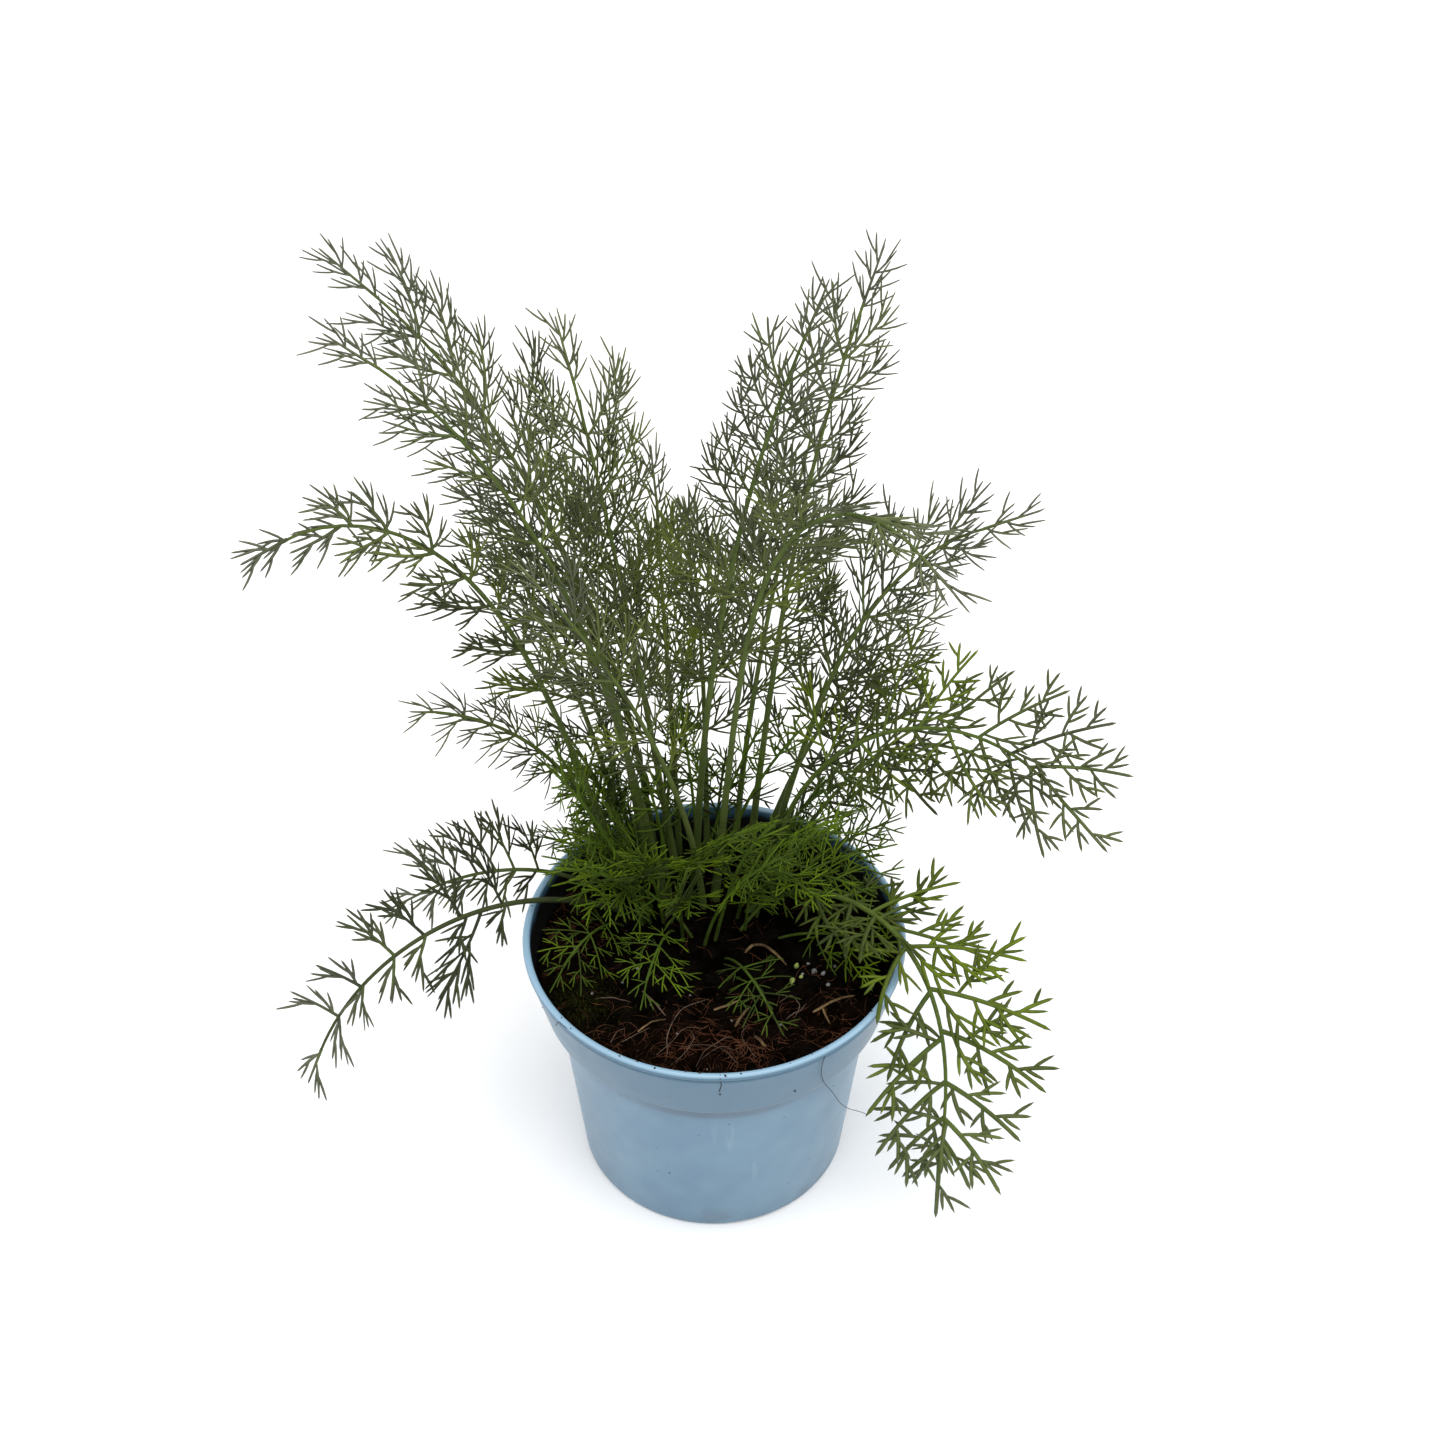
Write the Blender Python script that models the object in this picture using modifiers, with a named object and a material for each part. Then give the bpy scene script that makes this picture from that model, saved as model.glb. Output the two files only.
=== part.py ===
"""Potted fennel: a pale blue nursery pot of compost with a tuft of feathery leaves.

Units are metres with +Z up. The origin is the centre of the pot's underside, and
-Y is the front. Each leaf is one body, a tapering stalk with its side branches and
their leaflets fused to it, and it stands in a plain hole of its own in the compost.
"""

import math
import random
from dataclasses import dataclass

import bmesh
import bpy
import numpy as np
from mathutils import Matrix, Quaternion, Vector, noise

MM = 0.001
CLEARANCE = 0.3 * MM

# Pot, a 13 cm round nursery pot
RIM_RADIUS = 65 * MM
POT_HEIGHT = 100 * MM
BASE_RADIUS = 46.9 * MM
COLLAR_HEIGHT = 24.7 * MM
COLLAR_FOOT_RADIUS = 59.3 * MM
SHOULDER_STEP = 5.4 * MM
SHOULDER_HEIGHT = 4.6 * MM
LIP_RADIUS = 1.3 * MM
WALL = 1.8 * MM
FLOOR = 2.2 * MM
RIM_TAPER = 0.5 * MM
EDGE_BEVEL = 0.6 * MM
BASE_CHAMFER = 1.2 * MM
LIP_ANGLES = (150, 100, 50, 0, -50)
POT_SIDES = 44
NOTCH_ANGLES = (-70, 20, 110, 200)
NOTCH_WIDTH = 23.5 * MM
NOTCH_HEIGHT = 1.3 * MM
NOTCH_DEPTH = 3 * MM
DRAIN_COUNT = 6
DRAIN_RADIUS = 3.5 * MM
DRAIN_CIRCLE = 30 * MM
DRAIN_SIDES = 8

# Compost
SOIL_LEVEL = POT_HEIGHT - 11.5 * MM
SOIL_RELIEF = 1.6 * MM
SOIL_LUMP = 16 * MM
SOIL_RINGS = 4
SOIL_SIDES = 30
HOLE_DEPTH = 9 * MM
HOLE_SIDES = 6

# Leaves
STALK_STEPS = 60
STALK_FOOT_RADIUS = (0.9 * MM, 1.6 * MM)
STALK_FULL_LENGTH = 260
STALK_TIP_RADIUS = 0.75 * MM
STALK_BURIED = HOLE_DEPTH - 1 * MM
BEND_PER_POINT = 22
BRANCH_SIDES = 3
BRANCH_RADIUS = 0.65 * MM
BRANCH_TIP_RADIUS = 0.4 * MM
LEAFLET_RADIUS = 0.5 * MM
LEAFLET_ROOT = 1.2 * MM
LEAFLET_SHORTEST = 6 * MM
OUTLINE_WIDEST = 0.25
OUTLINE_LENGTHS = (0.78, 1, 0.58)
LAST_PAIR = 0.97
TIP_PLACE = 0.99
TIP_LENGTH = 0.62
LOWEST_LEAF = 4 * MM
GAP = 0.4 * MM

POT_BLUE = (0.35, 0.56, 0.74)
SOIL_BROWN = (0.018, 0.011, 0.007)
FINE_GREEN = (0.052, 0.078, 0.025)
COARSE_GREEN = (0.09, 0.16, 0.02)


@dataclass(frozen=True)
class Style:
    """How a leaf is cut.

    branch_angle: degrees between stalk and side branch, at the lowest and the highest
    leaflet_angle: degrees between side branch and leaflet
    leaflet_gap: distance between pairs of leaflets along a branch
    leaflet_share: longest leaflet as a share of its branch
    spread: degrees that branches stand out of the leaf's plane, up or down
    """

    branch_angle: tuple
    leaflet_angle: float
    leaflet_gap: float
    leaflet_share: float
    spread: float
    colour: tuple


FINE = Style((60, 34), 42, 12 * MM, 0.58, 26, FINE_GREEN)
COARSE = Style((74, 42), 56, 12 * MM, 0.52, 10, COARSE_GREEN)


@dataclass(frozen=True)
class Frond:
    """One leaf, from its foot in the compost to its tip.

    foot: where it leaves the compost, x and y in millimetres
    heading: the way it leans, in degrees from +X towards +Y
    swing: how far the heading has turned at the tip, in degrees
    lean: degrees from upright, at the foot and at the tip
    arch: 1 bends evenly, more keeps the bend for the tip
    length: along the stalk, in millimetres
    bare: share of the stalk below the first side branch
    reach: longest side branch to the left and to the right of the stalk, in millimetres
    pairs: number of pairs of side branches
    roll: turn of the leaf's flat side about its stalk, in degrees
    """

    name: str
    foot: tuple
    heading: float
    swing: float
    lean: tuple
    arch: float
    length: float
    bare: float
    reach: tuple
    pairs: int
    roll: float
    style: Style


FRONDS = (
    Frond("frond_tall_left", (-24, 36), 140, 15, (7, 58), 1.8, 236, 0.42, (29, 40), 6, -40, FINE),
    Frond("frond_tall_left_front", (-17, 24), 155, 40, (11, 45), 2.4, 236, 0.42, (27, 34), 6, -60, FINE),
    Frond("frond_tall_centre_left", (-14, 42), 150, -20, (9, 20), 2.0, 190, 0.42, (32, 38), 6, -35, FINE),
    Frond("frond_arching_left", (-30, 30), 165, 40, (16, 110), 4.4, 212, 0.45, (26, 19), 6, -55, FINE),
    Frond("frond_low_left", (-36, 38), 186, 12, (9, 72), 1.55, 111, 0.4, (14, 14), 5, -45, FINE),
    Frond("frond_drooping_left", (-34, 22), 203, 15, (53, 152), 1.3, 130, 0.35, (22, 23), 5, -25, COARSE),
    Frond("frond_drooping_left_back", (-40, 29), 190, 5, (34, 112), 0.8, 68, 0.4, (14, 24), 4, -35, FINE),
    Frond("frond_tall_right", (-7, 34), 20, -50, (2, 19), 1.6, 230, 0.42, (30, 34), 6, -70, FINE),
    Frond("frond_tall_right_back", (12, 46), 36, 10, (6, 28), 2.6, 214, 0.4, (35, 28), 6, 40, FINE),
    Frond("frond_leaning_right", (17, 38), 30, -37, (14, 69), 3.6, 168, 0.42, (32, 22), 5, 45, FINE),
    Frond("frond_arching_right", (0, 26), -35, -15, (5, 118), 4.5, 236, 0.5, (28, 28), 5, -60, FINE),
    Frond("frond_spreading_right", (20, 32), 22, -70, (0, 121), 1.25, 157, 0.4, (36, 35), 6, 40, COARSE),
    Frond("frond_low_right", (24, 40), 30, 0, (22, 85), 1.0, 82, 0.4, (24, 16), 4, 35, COARSE),
    Frond("frond_drooping_right", (12, 20), -8, -100, (36, 170), 0.85, 148, 0.36, (39, 35), 6, 0, COARSE),
    Frond("frond_centre_back", (-13, 50), 105, -10, (5, 40), 1.0, 130, 0.35, (36, 36), 5, 0, FINE),
    Frond("frond_centre_front", (-4, 22), 200, -20, (4, 34), 1.0, 150, 0.45, (30, 30), 5, -60, FINE),
    Frond("frond_inner_left", (-30, 46), 165, -20, (12, 40), 2.0, 140, 0.4, (30, 30), 5, -40, FINE),
    Frond("frond_inner_right", (16, 48), 30, 10, (18, 80), 1.6, 104, 0.38, (28, 28), 5, 30, FINE),
    Frond("frond_back_left", (-22, 50), 125, 10, (10, 66), 1.5, 160, 0.4, (32, 32), 5, -20, FINE),
    Frond("frond_back", (-3, 48), 92, 5, (10, 84), 1.3, 128, 0.38, (32, 32), 5, 0, FINE),
    Frond("frond_back_right", (7, 52), 65, 10, (9, 68), 1.5, 156, 0.4, (32, 32), 5, 10, FINE),
    Frond("frond_young_left", (-32, 14), 235, 0, (35, 118), 1.0, 36, 0.35, (18, 18), 3, -25, COARSE),
    Frond("frond_young_front_left", (-14, 10), 255, 0, (38, 112), 1.0, 36, 0.35, (18, 18), 3, -10, COARSE),
    Frond("frond_young_front", (4, -2), 292, 0, (45, 98), 1.0, 44, 0.4, (16, 16), 3, 20, COARSE),
    Frond("frond_young_right", (22, 8), -22, 0, (50, 96), 1.0, 38, 0.4, (20, 20), 3, 40, COARSE),
    Frond("frond_young_centre", (9, 11), 22, 0, (32, 98), 1.0, 54, 0.4, (22, 22), 4, 35, COARSE),
    Frond("frond_young_inner", (-8, 8), 168, 0, (25, 86), 1.0, 50, 0.4, (22, 22), 4, -40, COARSE),
)


def blend(start: float, end: float, share: float) -> float:
    """Value that lies the given share of the way from start to end."""
    return start + (end - start) * share


def soil_height(x: float, y: float) -> float:
    """Height of the compost's lumpy top at a point of the pot."""
    lump = noise.noise(Vector((x / SOIL_LUMP, y / SOIL_LUMP, 0.5)))
    return SOIL_LEVEL + SOIL_RELIEF * lump


def wall_outside(height: float) -> float:
    """Radius of the pot's outer face at a height: body, shoulder, then collar."""
    collar_foot = POT_HEIGHT - COLLAR_HEIGHT
    shoulder_foot = collar_foot - SHOULDER_HEIGHT
    body_top = COLLAR_FOOT_RADIUS - SHOULDER_STEP
    if height > collar_foot:
        return blend(COLLAR_FOOT_RADIUS, RIM_RADIUS, (height - collar_foot) / COLLAR_HEIGHT)
    if height > shoulder_foot:
        share = (height - shoulder_foot) / SHOULDER_HEIGHT
        return blend(body_top, COLLAR_FOOT_RADIUS, share)
    return blend(BASE_RADIUS, body_top, height / shoulder_foot)


class Spine:
    """Centre line of a frond, walked in short straight steps."""

    def __init__(self, frond: Frond):
        self.frond = frond
        x, y = frond.foot[0] * MM, frond.foot[1] * MM
        self.points = [Vector((x, y, soil_height(x, y)))]
        step = frond.length * MM / STALK_STEPS
        for number in range(STALK_STEPS):
            tangent = self.tangent((number + 0.5) / STALK_STEPS)
            self.points.append(self.points[-1] + tangent * step)

    def heading(self, share: float) -> float:
        """Heading in radians."""
        return math.radians(self.frond.heading + self.frond.swing * share)

    def tangent(self, share: float) -> Vector:
        """Direction of growth at a share of the length."""
        lean = math.radians(blend(*self.frond.lean, share**self.frond.arch))
        heading = self.heading(share)
        level = math.sin(lean)
        return Vector((level * math.cos(heading), level * math.sin(heading), math.cos(lean)))

    def point(self, share: float) -> Vector:
        """Place at a share of the length."""
        place = min(share, 0.9999) * STALK_STEPS
        number = int(place)
        return self.points[number].lerp(self.points[number + 1], place - number)

    def axes(self, share: float) -> tuple:
        """Tangent, sideways and upward directions of the leaf at a share of the length."""
        tangent = self.tangent(share)
        heading = self.heading(share)
        side = Vector((-math.sin(heading), math.cos(heading), 0))
        side.rotate(Quaternion(tangent, math.radians(self.frond.roll)))
        return tangent, side, tangent.cross(side)

    def radius(self, share: float) -> float:
        """Stalk radius, thicker on a longer leaf."""
        foot = blend(*STALK_FOOT_RADIUS, min(self.frond.length / STALK_FULL_LENGTH, 1))
        return blend(foot, STALK_TIP_RADIUS, share)


class Taken:
    """Space that leaves already fill, kept as straight rods."""

    def __init__(self):
        self.owners = []
        self.rods = []

    def add(self, owner: str, start: Vector, end: Vector, radius: float):
        """Fill a rod for one leaf."""
        self.owners.append(owner)
        self.rods.append((*start, *end, radius))

    def is_clear(self, owner: str, start: Vector, end: Vector, radius: float) -> bool:
        """Whether a rod stays clear of the other leaves, the compost and the pot."""
        return clear_of_pot(start, end, radius) and self.is_clear_of_leaves(owner, start, end, radius)

    def is_clear_of_leaves(self, owner: str, start: Vector, end: Vector, radius: float) -> bool:
        """Whether a rod stays clear of the other leaves."""
        others = np.array([rod for name, rod in zip(self.owners, self.rods) if name != owner])
        if not len(others):
            return True
        gaps = rod_distances(np.array(start), np.array(end), others[:, :3], others[:, 3:6])
        return bool((gaps - others[:, 6] - radius).min() > GAP)


def rod_distances(start, end, other_starts, other_ends):
    """Shortest distances from one line segment to many others."""
    along = end - start
    others = other_ends - other_starts
    offset = start - other_starts
    a = along @ along
    e = (others * others).sum(1)
    f = (others * offset).sum(1)
    c = offset @ along
    b = others @ along
    spread = np.maximum(a * e - b * b, 1e-18)
    s = np.clip((b * f - c * e) / spread, 0, 1)
    t = np.clip((b * s + f) / e, 0, 1)
    s = np.clip((b * t - c) / a, 0, 1)
    nearest = offset + s[:, None] * along - t[:, None] * others
    return np.sqrt((nearest * nearest).sum(1))


def clear_of_pot(start: Vector, end: Vector, radius: float) -> bool:
    """Whether a rod stays clear of the pot, the compost and the ground."""
    samples = 8
    margin = radius + GAP
    for number in range(samples + 1):
        point = start.lerp(end, number / samples)
        distance = math.hypot(point.x, point.y)
        if point.z < LOWEST_LEAF:
            return False
        if point.z > POT_HEIGHT + margin:
            continue
        if distance > wall_outside(point.z) + margin:
            continue
        if distance > wall_outside(point.z) - WALL - LIP_RADIUS - margin:
            return False
        if point.z < soil_height(point.x, point.y) + margin:
            return False
    return True


def new_material(name: str, colour: tuple, roughness: float) -> bpy.types.Material:
    """Principled material of one colour."""
    material = bpy.data.materials.new(name)
    material.use_nodes = True
    shader = material.node_tree.nodes["Principled BSDF"]
    shader.inputs["Base Color"].default_value = (*colour, 1)
    shader.inputs["Roughness"].default_value = roughness
    shader.inputs["Metallic"].default_value = 0
    return material


def new_collection(name: str) -> bpy.types.Collection:
    """Collection linked to the scene."""
    collection = bpy.data.collections.new(name)
    bpy.context.scene.collection.children.link(collection)
    return collection


def clear_scene():
    """Remove every object and mesh that the scene starts with."""
    for thing in list(bpy.data.objects):
        bpy.data.objects.remove(thing, do_unlink=True)


def evaluated_mesh(thing: bpy.types.Object) -> bpy.types.Mesh:
    """Mesh of an object after its modifiers, with loose caps welded."""
    bpy.context.view_layer.update()
    graph = bpy.context.evaluated_depsgraph_get()
    mesh = bpy.data.meshes.new_from_object(thing.evaluated_get(graph))
    shape = bmesh.new()
    shape.from_mesh(mesh)
    bmesh.ops.remove_doubles(shape, verts=shape.verts, dist=0.001 * MM)
    shape.to_mesh(mesh)
    shape.free()
    return mesh


def turned(name: str, profile: list, sides: int, collection) -> bpy.types.Object:
    """Body turned about the Z axis from a profile of (radius, height) points."""
    mesh = bpy.data.meshes.new(name)
    edges = [(number, number + 1) for number in range(len(profile) - 1)]
    mesh.from_pydata([(radius, 0, height) for radius, height in profile], edges, [])
    body = bpy.data.objects.new(name, mesh)
    collection.objects.link(body)
    screw = body.modifiers.new("turn", "SCREW")
    screw.angle = math.tau
    screw.steps = sides
    screw.render_steps = sides
    screw.use_merge_vertices = True
    screw.merge_threshold = 0.01 * MM
    return body


def cylinder(name: str, radius: float, depth: float, sides: int, collection) -> bpy.types.Object:
    """Closed cylinder centred on its origin, used as a cutter."""
    mesh = bpy.data.meshes.new(name)
    shape = bmesh.new()
    bmesh.ops.create_cone(
        shape, cap_ends=True, segments=sides, radius1=radius, radius2=radius, depth=depth
    )
    shape.to_mesh(mesh)
    shape.free()
    return add_cutter(name, mesh, collection)


def add_cutter(name: str, mesh: bpy.types.Mesh, collection) -> bpy.types.Object:
    """Object that only cuts others."""
    cutter = bpy.data.objects.new(name, mesh)
    collection.objects.link(cutter)
    cutter.hide_render = True
    cutter.display_type = "WIRE"
    return cutter


def cut_by(body: bpy.types.Object, cutters: bpy.types.Collection):
    """Cut everything in a collection out of a body."""
    boolean = body.modifiers.new("cuts", "BOOLEAN")
    boolean.operation = "DIFFERENCE"
    boolean.operand_type = "COLLECTION"
    boolean.collection = cutters
    boolean.solver = "EXACT"


def pot_profile() -> list:
    """Pot outline: up the inside, over the lip, down the outside, to the centre below."""
    collar_foot = POT_HEIGHT - COLLAR_HEIGHT
    shoulder_foot = collar_foot - SHOULDER_HEIGHT
    body_top = COLLAR_FOOT_RADIUS - SHOULDER_STEP
    lip_centre = (RIM_RADIUS - LIP_RADIUS, POT_HEIGHT - LIP_RADIUS)
    lip = []
    for degrees in LIP_ANGLES:
        angle = math.radians(degrees)
        lip.append(
            (
                lip_centre[0] + LIP_RADIUS * math.cos(angle),
                lip_centre[1] + LIP_RADIUS * math.sin(angle),
            )
        )
    under_lip = RIM_RADIUS - RIM_TAPER
    return [
        (0, FLOOR),
        (BASE_RADIUS - WALL, FLOOR),
        (body_top - WALL, shoulder_foot + WALL / 2),
        (COLLAR_FOOT_RADIUS - WALL, collar_foot + WALL / 2),
        (under_lip - WALL, POT_HEIGHT - 3 * LIP_RADIUS),
        *lip,
        (under_lip, POT_HEIGHT - 2.2 * LIP_RADIUS),
        (COLLAR_FOOT_RADIUS, collar_foot + EDGE_BEVEL),
        (COLLAR_FOOT_RADIUS - EDGE_BEVEL, collar_foot),
        (body_top, shoulder_foot),
        (wall_outside(BASE_CHAMFER), BASE_CHAMFER),
        (BASE_RADIUS - BASE_CHAMFER, 0),
        (0, 0),
    ]


def build_pot(parts, cutters) -> bpy.types.Object:
    """Pot with drain holes in its floor and shallow notches in the edge of its base."""
    pot = turned("pot", pot_profile(), POT_SIDES, parts)
    for number, degrees in enumerate(NOTCH_ANGLES):
        mesh = bpy.data.meshes.new("notch_cutter")
        shape = bmesh.new()
        bmesh.ops.create_cube(shape, size=1)
        size = Matrix.Diagonal((4 * NOTCH_DEPTH, NOTCH_WIDTH, 2 * NOTCH_HEIGHT, 1))
        shift = Matrix.Translation((BASE_RADIUS + NOTCH_DEPTH, 0, 0))
        shape.transform(Matrix.Rotation(math.radians(degrees), 4, "Z") @ shift @ size)
        shape.to_mesh(mesh)
        shape.free()
        add_cutter(f"notch_cutter_{number}", mesh, cutters)
    for number in range(DRAIN_COUNT):
        angle = math.tau * (number + 0.5) / DRAIN_COUNT
        drain = cylinder(f"drain_cutter_{number}", DRAIN_RADIUS, 4 * FLOOR, DRAIN_SIDES, cutters)
        drain.location = (DRAIN_CIRCLE * math.cos(angle), DRAIN_CIRCLE * math.sin(angle), FLOOR)
    cut_by(pot, cutters)
    pot.data.materials.append(new_material("pot_plastic", POT_BLUE, 0.4))
    return pot


def soil_profile() -> list:
    """Compost outline: out across the flat top, down beside the wall, in underneath."""
    collar_foot = POT_HEIGHT - COLLAR_HEIGHT
    shoulder_foot = collar_foot - SHOULDER_HEIGHT
    body_top = COLLAR_FOOT_RADIUS - SHOULDER_STEP
    gap = WALL + CLEARANCE / math.cos(math.pi / SOIL_SIDES)
    lift = WALL / 2 + CLEARANCE
    edge = wall_outside(SOIL_LEVEL) - gap - RIM_TAPER
    top = [(edge * number / SOIL_RINGS, SOIL_LEVEL) for number in range(SOIL_RINGS + 1)]
    return [
        *top,
        (COLLAR_FOOT_RADIUS - gap, collar_foot + lift),
        (body_top - gap, shoulder_foot + lift),
        (BASE_RADIUS - gap - 0.1 * MM, FLOOR + CLEARANCE),
        (0, FLOOR + CLEARANCE),
    ]


def build_soil(parts, cutters, spines: list) -> bpy.types.Object:
    """Compost with a lumpy top and a plain hole for each stalk."""
    blank = turned("soil_blank", soil_profile(), SOIL_SIDES, parts)
    mesh = evaluated_mesh(blank)
    bpy.data.objects.remove(blank)
    for vertex in mesh.vertices:
        if vertex.co.z > SOIL_LEVEL - 0.1 * MM:
            vertex.co.z = soil_height(vertex.co.x, vertex.co.y)
    soil = bpy.data.objects.new("soil", mesh)
    parts.objects.link(soil)
    for spine in spines:
        radius = (spine.radius(0) + CLEARANCE + 0.05 * MM) / math.cos(math.pi / HOLE_SIDES)
        direction = spine.tangent(0)
        hole = cylinder(f"{spine.frond.name}_hole", radius, 2 * HOLE_DEPTH, HOLE_SIDES, cutters)
        hole.rotation_mode = "QUATERNION"
        hole.rotation_quaternion = direction.to_track_quat("Z", "Y")
        hole.location = spine.points[0]
    cut_by(soil, cutters)
    soil.data.materials.append(new_material("soil_compost", SOIL_BROWN, 0.95))
    return soil


def stalk_shares(frond: Frond) -> list:
    """Shares of the length where the stalk gets a ring, more for a stronger bend."""
    bend = abs(frond.lean[1] - frond.lean[0]) + 0.5 * abs(frond.swing)
    count = 4 + round(bend / BEND_PER_POINT)
    return [(number / count) ** (1 / max(frond.arch, 1) ** 0.5) for number in range(count + 1)]


def build_stalk(spine: Spine, collection) -> bpy.types.Object:
    """Tapering stalk from below the compost to the frond's tip, as a closed mesh."""
    name = spine.frond.name
    curve = bpy.data.curves.new(name, "CURVE")
    curve.dimensions = "3D"
    curve.bevel_depth = 1
    curve.bevel_resolution = 1
    curve.use_fill_caps = True
    shares = stalk_shares(spine.frond)
    buried = spine.points[0] - spine.tangent(0) * STALK_BURIED
    places = [buried] + [spine.point(share) for share in shares]
    radii = [spine.radius(0)] + [spine.radius(share) for share in shares]
    line = curve.splines.new("POLY")
    line.points.add(len(places) - 1)
    for point, place, radius in zip(line.points, places, radii):
        point.co = (*place, 1)
        point.radius = radius
    drawn = bpy.data.objects.new(f"{name}_curve", curve)
    collection.objects.link(drawn)
    mesh = evaluated_mesh(drawn)
    stalk = bpy.data.objects.new(name, mesh)
    stalk.matrix_world = drawn.matrix_world
    collection.objects.link(stalk)
    bpy.data.objects.remove(drawn)
    bpy.data.curves.remove(curve)
    return stalk


def tilted(forward: Vector, side: Vector, up: Vector, angle: float, spread: float) -> Vector:
    """Direction at an angle from forward towards side, lifted out of the plane by spread."""
    angle, spread = math.radians(angle), math.radians(spread)
    outward = side * math.cos(spread) + up * math.sin(spread)
    return forward * math.cos(angle) + outward * math.sin(angle)


def branch_outline(share: float) -> float:
    """Length of a side branch, as a share of the longest, along the leafy part."""
    lowest, longest, last = OUTLINE_LENGTHS
    if share < OUTLINE_WIDEST:
        return blend(lowest, longest, share / OUTLINE_WIDEST)
    return blend(longest, last, (share - OUTLINE_WIDEST) / (1 - OUTLINE_WIDEST))


@dataclass(frozen=True)
class Branch:
    """Side branch of a frond with the tips of its leaflets.

    root, end: where it starts, on the stalk's centre line, and where it ends
    up: direction across the branch that its leaflets stand square to
    leaflets: for each, the distance along the branch, which side, and its tip
    """

    root: Vector
    end: Vector
    up: Vector
    leaflets: tuple


def build_branch(branch: Branch, collection) -> bpy.types.Object:
    """Three-sided tapering branch whose faces are drawn out into pointed leaflets."""
    along = branch.end - branch.root
    length = along.length
    turn = along.to_track_quat("Z", "Y")
    across = turn.inverted() @ branch.up
    roll = Matrix.Rotation(math.atan2(across.y, across.x), 4, "Z")
    place = Matrix.Translation(branch.root) @ turn.to_matrix().to_4x4() @ roll
    shape = bmesh.new()
    bmesh.ops.create_cone(
        shape,
        cap_ends=True,
        segments=BRANCH_SIDES,
        radius1=BRANCH_RADIUS,
        radius2=BRANCH_TIP_RADIUS,
        depth=length,
        matrix=Matrix.Translation((0, 0, length / 2)) @ Matrix.Rotation(-math.pi / 2, 4, "Z"),
    )
    tip = max(shape.faces, key=lambda face: face.calc_center_median().z)
    bmesh.ops.poke(shape, faces=[tip], offset=BRANCH_TIP_RADIUS * 2.5)
    for height in sorted({distance for distance, _, _ in branch.leaflets}):
        for edge in (height - LEAFLET_ROOT / 2, height + LEAFLET_ROOT / 2):
            everything = list(shape.verts) + list(shape.edges) + list(shape.faces)
            bmesh.ops.bisect_plane(
                shape, geom=everything, plane_co=(0, 0, edge), plane_no=(0, 0, 1)
            )
    back = place.inverted()
    for height, hand, target in branch.leaflets:
        face = leaflet_face(shape, height, hand)
        poked = bmesh.ops.poke(shape, faces=[face])
        poked["verts"][0].co = back @ target
    mesh = bpy.data.meshes.new("branch")
    shape.to_mesh(mesh)
    shape.free()
    body = bpy.data.objects.new("branch", mesh)
    body.matrix_world = place
    collection.objects.link(body)
    return body


def leaflet_face(shape: bmesh.types.BMesh, height: float, hand: int):
    """Face of a branch, on one hand, that stands at a height along it."""
    level = [
        face
        for face in shape.faces
        if len(face.verts) == 4 and abs(face.calc_center_median().z - height) < LEAFLET_ROOT / 4
    ]
    return max(level, key=lambda face: face.calc_center_median().y * hand)


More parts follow.
